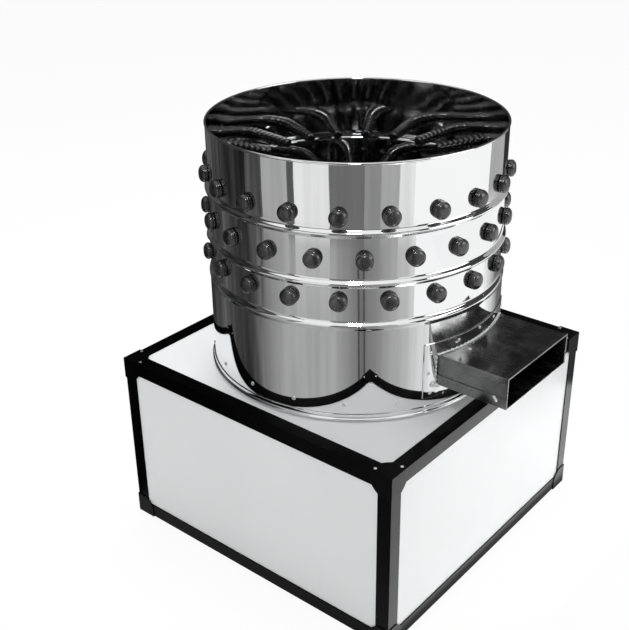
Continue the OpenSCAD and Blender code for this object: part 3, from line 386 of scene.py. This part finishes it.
def scratched_steel(name):
    """The chute's dull sheet: smeared, with long fine scratches and a few water marks."""
    material, nodes, links = new_material(name)
    shader = nodes["Principled BSDF"]
    shader.inputs["Metallic"].default_value = 1
    tint = ramp(nodes, links, object_noise(nodes, links, 16, 6), [(0.3, 0.17), (0.55, 0.24), (0.75, 0.38)])
    links.new(tint, shader.inputs["Base Color"])
    smear = ramp(nodes, links, object_noise(nodes, links, 24, 6, (1, 1.6, 1)), [
        (0.36, 0.16), (0.52, 0.24), (0.62, 0.3), (0.72, 0.44),
    ])
    scratches = object_noise(nodes, links, 60, 8, (0.5, 9, 9))
    scratch = ramp(nodes, links, scratches, [(0.6, 0.0), (0.72, 0.16)])
    links.new(compute(nodes, links, "ADD", smear, scratch), shader.inputs["Roughness"])
    dents = bump(nodes, links, object_noise(nodes, links, 9, 2), 0.0016)
    links.new(bump(nodes, links, scratches, 0.00004, 0.6, dents), shader.inputs["Normal"])
    return material


MATERIALS = {
    "polished_stainless": steel("polished stainless", 0.93, 0.03),
    # The inner face is darker and rougher: partly a duller finish, partly painted shade inside the drum
    "inner_stainless": steel("inner stainless", 0.66, 0.045, smudge=0.1),
    "chute_stainless": scratched_steel("chute stainless"),
    "finger_rubber": finger_rubber_material(),
    "black_rubber": rubber("black rubber", 0.01, 0.025, 0.5),
    "white_panel": paint("white panel", (0.8, 0.81, 0.815), 0.3, shine=0.05),
    "black_edging": paint("black edging", (0.001, 0.001, 0.0012), 0.24, mottle=0.3, shine=0.04),
    "black_cap": paint("black cap", (0.001, 0.001, 0.0012), 0.32, mottle=0.3, shine=0.05),
    "frame_paint": paint("frame paint", (0.18, 0.19, 0.2), 0.4),
    "zinc_fastener": steel("zinc fastener", 0.9, 0.42, wave=0.0001),
    "cast_housing": paint("cast housing", (0.16, 0.17, 0.19), 0.55, peel=0.0001, metallic=0.4),
    "bearing_steel": steel("bearing steel", 0.75, 0.12, wave=0.0001),
    "motor_paint": paint("motor paint", (0.12, 0.2, 0.28), 0.45, peel=0.00005),
    "cover_paint": paint("cover paint", (0.06, 0.065, 0.07), 0.4),
    "black_plastic": paint("black plastic", (0.02, 0.02, 0.022), 0.4),
    "green_plastic": paint("green plastic", (0.02, 0.3, 0.07), 0.22),
    "red_plastic": paint("red plastic", (0.55, 0.02, 0.015), 0.22),
}


def dress_nodes():
    """Every CAD node gets the material of its slot."""
    slots = {row["node"]: row["material_slot"] for row in frame["record"]["subparts"]}
    for node, piece in frame["nodes"].items():
        piece.data.materials.clear()
        piece.data.materials.append(MATERIALS[slots[node]])


# The drum

def drum_outline():
    """The sheet's outer face, from the panel up: the wider foot strip, then soft beads."""
    points = [(FOOT_R, DECK)]
    bead_steps = 9
    lip = 0.0012
    for height in BEAD_HEIGHTS:
        below_r = FOOT_R if height == BEAD_HEIGHTS[0] else DRUM_R
        peak_r = FOOT_R + lip
        points.append((below_r, height - BEAD_DOWN - lip))
        for i in range(bead_steps):
            turn = i / bead_steps - 1
            points.append((
                below_r + (peak_r - below_r) * (1 + cos(pi * turn)) / 2, height + BEAD_DOWN * turn,
            ))
        for i in range(bead_steps + 1):
            turn = i / bead_steps
            points.append((DRUM_R + (peak_r - DRUM_R) * (1 + cos(pi * turn)) / 2, height + BEAD_UP * turn))
        points.append((DRUM_R, height + BEAD_UP + lip))
    points.append((DRUM_R, DRUM_TOP - RIM_R))
    return points


def cut_chute_opening(piece):
    """Cuts the sheet at the chute's sides, floor and top, and deletes what lies between."""
    low = tray_low.z + CHUTE_SHEET
    high = hood_high.z - 2 * CHUTE_SHEET
    edit(piece)
    for place, normal in (
        ((0, -OPENING_HALF, 0), (0, 1, 0)),
        ((0, OPENING_HALF, 0), (0, 1, 0)),
        ((0, 0, low), (0, 0, 1)),
        ((0, 0, high), (0, 0, 1)),
    ):
        bpy.ops.mesh.select_all(action="SELECT")
        bpy.ops.mesh.bisect(plane_co=place, plane_no=normal)
    leave_edit()
    delete_faces(piece, lambda middle: (
        middle.x > 0 and abs(middle.y) < OPENING_HALF and low < middle.z < high
    ))


def build_drum():
    """The drum's sheet, bright outside and duller and darker inside, the darker colour partly a duller
    finish and partly painted shade, and the rolled rim of its mouth.
    """
    shell = lathe("drum-sheet", drum_outline(), DRUM_STEPS)
    cut_chute_opening(shell)
    for name in ("polished_stainless", "inner_stainless"):
        shell.data.materials.append(MATERIALS[name])
    add_modifier(
        shell, "SOLIDIFY", thickness=SHEET, offset=-1, use_even_offset=True,
        material_offset=1, material_offset_rim=0,
    )
    shell.location.x = AXIS_X
    settle(shell)
    smooth(shell, 40)
    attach(shell, "cabinet")
    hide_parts("drum_shell", "bottom_row_shell", "middle_row_shell", "top_row_shell")
    bpy.ops.object.select_all(action="DESELECT")
    bpy.ops.mesh.primitive_torus_add(
        location=(AXIS_X, 0, DRUM_TOP - RIM_R), major_radius=DRUM_R - SHEET / 2, minor_radius=RIM_R,
        major_segments=DRUM_STEPS, minor_segments=16,
    )
    rim = bpy.context.object
    rim.name = "drum-rolled-rim"
    settle(rim)
    smooth(rim, 60)
    finish_piece(rim, "polished_stainless", "cabinet")


def build_base_ring():
    """The ring round the drum's foot: a thin band that swells into a bead over the panel."""
    inner = FOOT_R + SEAT
    thick = 0.0012
    width = ring_high.x - AXIS_X - inner
    bead_half = 0.0042
    half_steps = 6
    top = ring_high.z
    outline = [(inner, top), (inner + thick / 2, top), (inner + thick, top - thick / 2)]
    for i in range(2 * half_steps + 1):
        turn = 1 - i / half_steps
        outline.append((
            inner + thick + (width - thick) * (1 + cos(pi * turn)) / 2,
            DECK + bead_half * (1 + turn) + SEAT,
        ))
    outline += [(inner + thick, DECK), (inner, DECK), (inner, top)]
    ring = lathe("drum-foot-ring", outline, DRUM_STEPS)
    ring.location.x = AXIS_X
    settle(ring)
    smooth(ring, 40)
    finish_piece(ring, "polished_stainless", "cabinet", "drum_base_ring")


# Rubber fingers: a head with a crown and two grooves, and a ribbed body that tapers to its tip

HEAD_R = 0.0145
HEAD_LEN = 0.015
CROWN_LOW = 0.0065
CROWN_FLAT = 0.003
GROOVES = (0.0044, 0.0016)
HOLE_R = 0.01
SHOULDER_R = 0.012
SHOULDER_LEN = 0.007
TIP_R = 0.0085
TIP_ROUND = 0.004
REACH = 0.088
RIBS = 7
FINGER_STEPS = 28
FINGERS_PER_ROW = 20
ROW_TURNS = (-4.5, 4.5, -4.5)
PLATE_SHEET = 0.003
PLATE_RINGS = (("outer", 16), ("middle", 12), ("inner", 8))


def finger_outline(sheet):
    """Half a finger from its head down to its tip: radius, then height over the sheet's outer face."""
    points = [(0, HEAD_LEN)]
    crown_steps = 8
    for i in range(crown_steps + 1):
        turn = radians(90 - 90 * i / crown_steps)
        points.append((
            CROWN_FLAT + (HEAD_R - CROWN_FLAT) * cos(turn),
            CROWN_LOW + (HEAD_LEN - CROWN_LOW) * sin(turn),
        ))
    groove_depth, groove_mouth, groove_floor = 0.0012, 0.0008, 0.0003
    for groove in GROOVES:
        points += [
            (HEAD_R, groove + groove_mouth), (HEAD_R - groove_depth, groove + groove_floor),
            (HEAD_R - groove_depth, groove - groove_floor), (HEAD_R, groove - groove_mouth),
        ]
    foot_chamfer, shoulder_chamfer = 0.0015, 0.001
    back = -sheet - 1.5 * SEAT
    start = back - SHOULDER_LEN
    tip = -sheet - REACH
    points += [
        (HEAD_R - foot_chamfer, 0), (HOLE_R - SEAT, 0), (HOLE_R - SEAT, back),
        (SHOULDER_R - shoulder_chamfer, back), (SHOULDER_R, back - shoulder_chamfer), (SHOULDER_R, start),
    ]
    rib_slope, rib_floor = 0.0011, 0.0012
    rib_len = (start - tip - TIP_ROUND) / RIBS
    taper = (SHOULDER_R - TIP_R) / RIBS
    for i in range(RIBS):
        top_r = SHOULDER_R - i * taper
        top_z = start - i * rib_len
        # Each rib steps in under the last one, then swells and tapers to the next
        points += [
            (top_r - rib_slope, top_z - 0.14 * rib_len),
            (top_r - rib_floor, top_z - 0.2 * rib_len),
            (top_r - 0.3 * taper, top_z - 0.34 * rib_len),
            (top_r - 0.9 * taper, top_z - 0.94 * rib_len),
            (top_r - taper, top_z - rib_len),
        ]
    tip_steps = 5
    for i in range(1, tip_steps + 1):
        turn = radians(90 * i / tip_steps)
        points.append((TIP_R - TIP_ROUND * (1 - cos(turn)), tip + TIP_ROUND * (1 - sin(turn))))
    points.append((0, tip))
    return points


def build_wall_fingers():
    """Three rows of fingers, each turned another way in its hole."""
    for row, (name, turn) in enumerate(zip(("bottom", "middle", "top"), ROW_TURNS)):
        finger = lathe("finger", finger_outline(SHEET), FINGER_STEPS)
        smooth(finger, 50)
        places = [
            around(turn + 360 * i / FINGERS_PER_ROW, DRUM_R, ROW_HEIGHTS[row], 90)
            @ Matrix.Rotation(7 * i + row, 4, "Z")
            for i in range(FINGERS_PER_ROW)
        ]
        fingers = copies(finger, places, name + "-row-fingers")
        finish_piece(fingers, "finger_rubber", "cabinet", name + "_wall_fingers")


def build_plate_fingers():
    """Three rings of fingers, with their heads under the feather plate."""
    for ring, count in PLATE_RINGS:
        node = ring + "_plate_fingers"
        low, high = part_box(node)
        under = low.z + HEAD_LEN
        head_far = (high.y - low.y) / 2
        radius = (head_far - HEAD_R) / cos(pi / count)
        finger = lathe("finger", finger_outline(PLATE_SHEET), FINGER_STEPS)
        smooth(finger, 50)
        places = [around(360 * (i + 0.5) / count, radius, under, 180) for i in range(count)]
        fingers = copies(finger, places, ring + "-ring-fingers")
        finish_piece(fingers, "finger_rubber", "plucking_plate", node)


# Screws

def dome(name, radius, height):
    """A round head that stands on z = 0."""
    outline = [(0, height)]
    arc_steps = 5
    for i in range(1, arc_steps + 1):
        turn = radians(90 * i / arc_steps)
        outline.append((radius * sin(turn), height * cos(turn)))
    outline.append((0, 0))
    piece = lathe(name, outline, 20)
    smooth(piece, 60)
    return piece


def build_foot_screws():
    """Small round heads low on the drum, which hold its inner ring."""
    first, pitch, count = -94.4, 18.95, 19
    face = FOOT_R + 0.0001
    height = CABINET_TOP + 0.028
    places = [around(first + pitch * i, face, height, 90) for i in range(count)]
    screws = copies(dome("screw", radius=0.0036, height=0.0018), places, "drum-foot-screws")
    finish_piece(screws, "zinc_fastener", "cabinet")


def build_cap_screws():
    """A small round head near the end of each arm, on the upper face of the top caps."""
    arm = 0.037
    inset = 0.008
    places = []
    for side in range(4):
        for near in (-1, 1):
            corner = Matrix.Rotation(radians(90 * side), 4, "Z")
            place = Matrix.Translation((near * (CABINET_HALF - arm), inset - CABINET_HALF, CABINET_TOP))
            places.append(Matrix.Translation((AXIS_X, 0, 0)) @ corner @ place)
    screws = copies(dome("screw", radius=0.0028, height=0.0014), places, "cap-screws")
    finish_piece(screws, "zinc_fastener", "cabinet")


# The chute

def tray_sides(spots):
    """Places on both sides of the tray, each as far from the drum's axis and as high as a spot says."""
    return [
        Matrix.Translation((AXIS_X + out, side * tray_high.y, tray_low.z + up))
        @ Matrix.Rotation(radians(90 * -side), 4, "X")
        for side in (-1, 1)
        for out, up in spots
    ]


def build_rivets():
    """Small rivets in a row on each side of the tray, and bright ones at the collar and the mouth."""
    row_up = 0.012
    places = tray_sides([(out, row_up) for out in (0.262, 0.2795, 0.3055)])
    small = copies(dome("rivet", radius=0.0019, height=0.0009), places, "tray-rivets")
    finish_piece(small, "chute_stainless", "cabinet")
    face = FOOT_R + SEAT + CHUTE_SHEET
    places = [
        around(angle, face, height, 90)
        for angle, height in (
            (-24.5, 0.449), (-12, 0.456), (0, 0.459), (12, 0.456), (24.5, 0.449),
            (-24.5, 0.375), (-13, 0.376), (0, 0.376), (13, 0.376), (24.5, 0.375),
            (-25.5, 0.412), (25.5, 0.412),
        )
    ]
    on_hood = Matrix.Translation((AXIS_X + 0.27, -0.047, hood_high.z - CHUTE_SHEET))
    places += [on_hood] + tray_sides([(0.3475, 0.0155), (0.351, 0.0115)])
    bright = copies(dome("rivet", radius=0.0031, height=0.0016), places, "collar-rivets")
    finish_piece(bright, "zinc_fastener", "cabinet")


def build_solder():
    """Uneven solder where the chute meets the drum: over its top, down its sides and at its feet."""
    lump_r = 0.0016
    face = FOOT_R + SEAT + 0.0022
    top = hood_high.z - 0.0012
    side = CHUTE_HALF + 0.0032
    foot_out = 0.007
    foot_lumps = 14
    step = 1.5 * lump_r
    # Each spot is a lump's place across the chute, its height and its size
    spots = []
    for i in range(int(2 * CHUTE_HALF / step) + 1):
        spots.append((-CHUTE_HALF + i * step, top, 1 + 0.5 * sin(2.3 * i) * sin(0.71 * i)))
    for i in range(int((top - tray_low.z) / step) + 1):
        for way in (-1, 1):
            spots.append((way * side, tray_low.z + i * step, 0.8 + 0.4 * sin(1.9 * i)))
    for i in range(foot_lumps):
        for way in (-1, 1):
            across = way * (side + foot_out - i * step)
            spots.append((across, tray_low.z + 0.002 * sin(1.3 * i), 2.0 + 0.8 * sin(2.1 * i)))
    places = [
        Matrix.Translation((AXIS_X + (face * face - y * y) ** 0.5, y, z)) @ Matrix.Scale(size, 4)
        for y, z, size in spots
    ]
    bpy.ops.object.select_all(action="DESELECT")
    bpy.ops.mesh.primitive_ico_sphere_add(subdivisions=2, radius=lump_r)
    lump = bpy.context.object
    smooth(lump, 80)
    solder = copies(lump, places, "chute-solder")
    finish_piece(solder, "zinc_fastener", "cabinet")


# The cabinet, the chute and the switch, with soft edges

def build_refined():
    """Pieces of the part whose sharp edges are rounded, each by the radius given here."""
    for node in ("top_frame", "bottom_frame", "corner_posts"):
        refined(node, 0.0006, "black_edging")
    for node in ("top_corner_caps", "bottom_corner_caps"):
        refined(node, 0.0005, "black_cap")
    for node in ("top_panel", "front_panel", "back_panel", "left_panel", "right_panel"):
        refined(node, 0.0005, "white_panel")
    for node in ("chute_hood", "chute_tray"):
        refined(node, 0.0004, "chute_stainless")
    refined("chute_collar", 0.0003, "polished_stainless")
    refined("switch_housing", 0.0012, "black_plastic")
    refined("cable_gland", 0.0005, "black_plastic")
    refined("start_button", 0.0006, "green_plastic", "start_button")
    refined("stop_button", 0.0006, "red_plastic", "stop_button")


# Stage: floor, lamps, reflected surroundings and camera

def emission(name, grey=1.0):
    """A material that only glows, in this grey."""
    material, nodes, links = new_material(name)
    nodes.remove(nodes["Principled BSDF"])
    light = nodes.new("ShaderNodeEmission")
    light.inputs["Color"].default_value = (grey, grey, grey, 1)
    links.new(light.outputs["Emission"], nodes["Material Output"].inputs["Surface"])
    return material, nodes, links, light


def show_only_in_reflections(thing):
    """Hides a thing from the camera and from all light but mirror reflections."""
    thing.visible_camera = False
    thing.visible_diffuse = False
    thing.visible_transmission = False
    thing.visible_shadow = False
    thing.visible_volume_scatter = False


def keep_between(piece, first, last):
    """Keeps what lies between two turns about the drum, which are less than half a turn apart."""
    edit(piece)
    for normal in (
        (-sin(radians(first)), cos(radians(first)), 0),
        (sin(radians(last)), -cos(radians(last)), 0),
    ):
        bpy.ops.mesh.select_all(action="SELECT")
        bpy.ops.mesh.bisect(plane_co=(AXIS_X, 0, 0), plane_no=normal, clear_inner=True)
    leave_edit()


# The room that the drum mirrors, in seven plain tones: the turn about the drum where each part ends
DARK, DIM, GREY, MID, PALE, BRIGHT, WHITE = 0.03, 0.09, 0.15, 0.28, 0.4, 0.8, 1.0
ROOM = [
    (-150, DIM),  # corner on the left
    (-120, DARK),  # its shelves
    (-108, DIM),
    (-91, PALE),  # door
    (-87, DIM),  # its post
    (-67, BRIGHT),  # window
    (-49, GREY),  # wall behind the camera, with two poles
    (-40, MID),
    (-30, PALE),
    (-22, BRIGHT),
    (36, WHITE),  # open side on the right
    (60, PALE),
    (180, DARK),
]
# Lower down, the room runs softly from one tone to the next, from the turn where each is clearest
LOW_ROOM = [
    (-180, DARK), (-145, DIM), (-120, DARK), (-90, PALE), (-65, PALE), (-50, GREY), (-30, PALE),
    (-10, BRIGHT), (36, WHITE), (60, GREY), (180, DARK),
]
# From the low room to the bands: how far up the wall, and how much of the bands is seen there
ROOM_BLEND = [(0.46, 0.0), (0.54, 0.12), (0.66, 0.22), (0.72, 1.0)]
# How far the edges of bands wander, and the turn where the side full of things ends
ROOM_WOBBLE = 0.008
BUSY_END = -108
# Two poles: their turns and half width in degrees, how far up the wall they reach, how much they darken
POLE_TURNS = (-51, -48)
POLE_HALF = 0.5
POLE_TOP = 0.62
POLE_SHADE = 0.6
# Nothing stands in the gap, through which the lamp on the right shines
WALL_GAP = (-20, 37)
GAP_FLOOR = 0.39

# The wall stands round the machine at this radius, from the ground to this height
WALL_R = 0.47
WALL_H = 0.82


def ring_share(turn):
    """A turn about the drum as a share of the whole ring, which starts at the back."""
    return (turn + 180) / 360


def build_reflected_wall():
    """A ring of grey bands round the machine that only its polished sheet sees."""
    bpy.ops.object.select_all(action="DESELECT")
    bpy.ops.mesh.primitive_cylinder_add(
        vertices=128, radius=WALL_R, depth=WALL_H, end_fill_type="NOTHING", location=(AXIS_X, 0, WALL_H / 2)
    )
    wall = bpy.context.object
    wall.name = "reflected-wall"
    edit(wall)
    bpy.ops.mesh.bisect(plane_co=(0, 0, GAP_FLOOR), plane_no=(0, 0, 1))
    leave_edit()
    delete_faces(wall, lambda middle: (
        middle.z + WALL_H / 2 > GAP_FLOOR
        and WALL_GAP[0] < degrees(atan2(middle.y, middle.x)) < WALL_GAP[1]
    ))
    wall.data.materials.append(room_material())
    show_only_in_reflections(wall)


def room_material():
    """The glow of the room: bands above, soft tones below, both uneven and with streaks."""
    material, nodes, links, light = emission("reflected wall")

    def work(kind, first, second=None):
        return compute(nodes, links, kind, first, second)

    coordinates = nodes.new("ShaderNodeTexCoord")
    split = nodes.new("ShaderNodeSeparateXYZ")
    links.new(coordinates.outputs["Object"], split.inputs[0])
    turn = work("ARCTAN2", split.outputs["Y"], split.outputs["X"])
    share = work("ADD", work("MULTIPLY", turn, 1 / (2 * pi)), 0.5)
    height = work("ADD", work("MULTIPLY", split.outputs["Z"], 1 / WALL_H), 0.5)
    wobble = work("MULTIPLY", work("SUBTRACT", object_noise(nodes, links, 3, 2), 0.5), ROOM_WOBBLE)
    wavy = work("ADD", share, wobble)

    # Each band starts where the one before it ends
    starts = [0] + [ring_share(end) for end, tone in ROOM[:-1]]
    bands = ramp(nodes, links, wavy, [(start, tone) for start, (end, tone) in zip(starts, ROOM)], "CONSTANT")
    tones = ramp(nodes, links, wavy, [(ring_share(turn), tone) for turn, tone in LOW_ROOM])
    room = mixed(nodes, links, ramp(nodes, links, height, ROOM_BLEND), tones, bands)

    # Strong upright streaks on the busy side, faint ones all round, and the poles
    strong = work("MULTIPLY", object_noise(nodes, links, 22, 6, (1, 1, 0.12)), 2.6)
    strong = work("MAXIMUM", work("SUBTRACT", strong, 0.4), 0.2)
    busy_side = work("LESS_THAN", share, ring_share(BUSY_END))
    strength = work("ADD", 1, work("MULTIPLY", busy_side, work("SUBTRACT", strong, 1)))
    faint = work("MULTIPLY", object_noise(nodes, links, 34, 5, (1, 1, 0.05)), 0.5)
    strength = work("MULTIPLY", strength, work("ADD", 0.76, faint))
    for pole_turn in POLE_TURNS:
        off = work("ABSOLUTE", work("SUBTRACT", wavy, ring_share(pole_turn)))
        across = work("LESS_THAN", off, POLE_HALF / 360)
        below = work("LESS_THAN", height, POLE_TOP)
        shade = work("MULTIPLY", work("MULTIPLY", across, below), POLE_SHADE)
        strength = work("MULTIPLY", strength, work("SUBTRACT", 1, shade))
    links.new(room, light.inputs["Color"])
    links.new(strength, light.inputs["Strength"])
    return material


def build_side_cards():
    """Bright cards low on the chute's side, which give the black edging there its sheen."""
    glow = emission("side card", grey=5.0)[0]
    height = 0.2
    inside_wall = WALL_R - 0.005
    bpy.ops.object.select_all(action="DESELECT")
    bpy.ops.mesh.primitive_cylinder_add(
        vertices=96, radius=inside_wall, depth=height, end_fill_type="NOTHING",
        location=(AXIS_X, 0, height / 2),
    )
    card = bpy.context.object
    card.name = "side-card"
    keep_between(card, -20, 80)
    bpy.ops.object.select_all(action="DESELECT")
    half = CABINET_HALF + 0.01
    bpy.ops.mesh.primitive_plane_add(size=1, location=(AXIS_X + (half + WALL_R) / 2, 0, 0.002))
    ground = bpy.context.object
    ground.name = "side-ground-card"
    ground.dimensions = (WALL_R - half, 2 * WALL_R, 0)
    for thing in (card, ground):
        thing.data.materials.append(glow)
        show_only_in_reflections(thing)


def build_shelf():
    """A shelf beside the chute, white above and dark below, which keeps the chute's top dark."""
    height = 0.55
    inner_r = 0.3
    bpy.ops.object.select_all(action="DESELECT")
    bpy.ops.mesh.primitive_circle_add(
        vertices=96, radius=inner_r, fill_type="NOTHING", location=(AXIS_X, 0, height)
    )
    shelf = bpy.context.object
    shelf.name = "reflected-shelf"
    edit(shelf)
    bpy.ops.mesh.extrude_region_move()
    bpy.ops.transform.resize(
        value=(WALL_R / inner_r, WALL_R / inner_r, 1), center_override=(AXIS_X, 0, height),
    )
    leave_edit()
    keep_between(shelf, -10, 80)
    edit(shelf)
    bpy.ops.mesh.normals_make_consistent(inside=False)
    leave_edit()
    facing_up = shelf.data.polygons[0].normal.z > 0
    material, nodes, links, light = emission("reflected shelf")
    side = nodes.new("ShaderNodeNewGeometry").outputs["Backfacing"]
    upper, under = 0.97, 0.06
    greys = [(0.4, upper), (0.6, under)] if facing_up else [(0.4, under), (0.6, upper)]
    links.new(ramp(nodes, links, side, greys), light.inputs["Color"])
    shelf.data.materials.append(material)
    show_only_in_reflections(shelf)


def build_reflected_sky():
    """A dome over the machine that only its polished sheet sees: dark, with a bright ceiling."""
    radius = 6
    lowest = 1.0
    bpy.ops.object.select_all(action="DESELECT")
    bpy.ops.mesh.primitive_uv_sphere_add(
        segments=48, ring_count=24, radius=radius, location=(AXIS_X, 0, 0),
    )
    sky = bpy.context.object
    sky.name = "reflected-sky"
    edit(sky)
    bpy.ops.mesh.bisect(plane_co=(0, 0, lowest), plane_no=(0, 0, 1), clear_inner=True)
    leave_edit()
    material, nodes, links, light = emission("reflected sky")
    coordinates = nodes.new("ShaderNodeTexCoord")
    split = nodes.new("ShaderNodeSeparateXYZ")
    links.new(coordinates.outputs["Object"], split.inputs[0])
    share = compute(nodes, links, "DIVIDE", split.outputs["Z"], radius)
    links.new(ramp(nodes, links, share, [(0.76, 0.05), (0.8, 0.9)]), light.inputs["Color"])
    sky.data.materials.append(material)
    show_only_in_reflections(sky)


def build_floor():
    """A pale floor that catches shadows and is otherwise nearly white."""
    bpy.ops.object.select_all(action="DESELECT")
    bpy.ops.mesh.primitive_plane_add(size=40, location=(0, 0, 0))
    floor = bpy.context.object
    floor.name = "floor"
    material, nodes, links = new_material("pale floor")
    shader = nodes["Principled BSDF"]
    shader.inputs["Base Color"].default_value = (0.9, 0.9, 0.9, 1)
    shader.inputs["Roughness"].default_value = 0.9
    white = nodes.new("ShaderNodeEmission")
    white.inputs["Color"].default_value = (1, 1, 1, 1)
    mix = nodes.new("ShaderNodeMixShader")
    links.new(background_rays(nodes, links, 0.93), mix.inputs["Fac"])
    links.new(shader.outputs["BSDF"], mix.inputs[1])
    links.new(white.outputs["Emission"], mix.inputs[2])
    links.new(mix.outputs["Shader"], nodes["Material Output"].inputs["Surface"])
    floor.data.materials.append(material)


def background_rays(nodes, links, share):
    """This share for rays from the camera, in reflections and through glass, and nothing for others."""
    path = nodes.new("ShaderNodeLightPath")
    seen = path.outputs["Is Camera Ray"]
    for kind in ("Is Glossy Ray", "Is Transmission Ray"):
        seen = compute(nodes, links, "MAXIMUM", seen, path.outputs[kind])
    return compute(nodes, links, "MULTIPLY", seen, share)


def build_world():
    """White all round, which lights the machine softly."""
    world = bpy.data.worlds.new("studio")
    bpy.context.scene.world = world
    world.use_nodes = True
    nodes, links = world.node_tree.nodes, world.node_tree.links
    soft = nodes["Background"]
    soft.inputs["Color"].default_value = (1, 1, 1, 1)
    soft.inputs["Strength"].default_value = 0.46
    white = nodes.new("ShaderNodeBackground")
    white.inputs["Color"].default_value = (1, 1, 1, 1)
    mix = nodes.new("ShaderNodeMixShader")
    links.new(background_rays(nodes, links, 1.0), mix.inputs["Fac"])
    links.new(soft.outputs["Background"], mix.inputs[1])
    links.new(white.outputs["Background"], mix.inputs[2])
    links.new(mix.outputs["Shader"], nodes["World Output"].inputs["Surface"])


def lamp(name, place, aim, size, power, mirrored=True):
    """A soft lamp that shines from its place to what it aims at."""
    bpy.ops.object.select_all(action="DESELECT")
    bpy.ops.object.light_add(type="AREA", location=place)
    light = bpy.context.object
    light.name = name
    light.data.shape = "ELLIPSE"
    light.data.size = size[0]
    light.data.size_y = size[1]
    light.data.energy = power
    light.visible_glossy = mirrored
    light.rotation_euler = (Vector(aim) - Vector(place)).to_track_quat("-Z", "Y").to_euler()


def build_lamps():
    """Four soft lamps round the machine."""
    aim = (0, 0, 0.4)
    lamp("side lamp", (2.4, 0.9, 1.8), aim, (1.8, 1.6), 22)
    lamp("front lamp", (-0.6, -2.8, 1.3), aim, (1.4, 1.2), 9)
    lamp("left lamp", (-1.2, 0.6, 3.1), aim, (1.4, 1.4), 61, mirrored=False)
    lamp("small lamp", (1.07, -1.5, 3.1), aim, (0.4, 0.4), 16)


# The camera as solved on the photograph: it looks across the front right corner from above
CAMERA_PLACE = Vector((1.0231 + AXIS_X, -1.3335, 1.2502))
CAMERA_TURN = radians(40.041)
CAMERA_DROP = radians(26.796)
CAMERA_ROLL = radians(-0.844)
FOCAL_PIXELS = 1033.93
PHOTO_HEIGHT = 630
SENSOR_SIZE = 36


def build_camera():
    """The camera that sees the machine as the photograph does."""
    camera = bpy.data.objects.new("camera", bpy.data.cameras.new("camera"))
    bpy.context.scene.collection.objects.link(camera)
    camera.data.sensor_fit = "AUTO"
    camera.data.sensor_width = SENSOR_SIZE
    camera.data.lens = FOCAL_PIXELS * SENSOR_SIZE / PHOTO_HEIGHT
    forward = Vector((
        -sin(CAMERA_TURN) * cos(CAMERA_DROP), cos(CAMERA_TURN) * cos(CAMERA_DROP), -sin(CAMERA_DROP),
    ))
    level = Vector((cos(CAMERA_TURN), sin(CAMERA_TURN), 0))
    upright = level.cross(forward)
    right = level * cos(CAMERA_ROLL) + upright * sin(CAMERA_ROLL)
    up = -level * sin(CAMERA_ROLL) + upright * cos(CAMERA_ROLL)
    turn = Matrix((right, up, -forward)).transposed()
    camera.matrix_world = Matrix.Translation(CAMERA_PLACE) @ turn.to_4x4()
    bpy.context.scene.camera = camera


build_camera()
dress_nodes()
build_drum()
build_base_ring()
build_wall_fingers()
build_plate_fingers()
build_foot_screws()
build_cap_screws()
build_rivets()
build_solder()
build_refined()
build_floor()
build_world()
build_lamps()
build_reflected_wall()
build_side_cards()
build_shelf()
build_reflected_sky()
bpy.context.scene.view_settings.view_transform = "Standard"
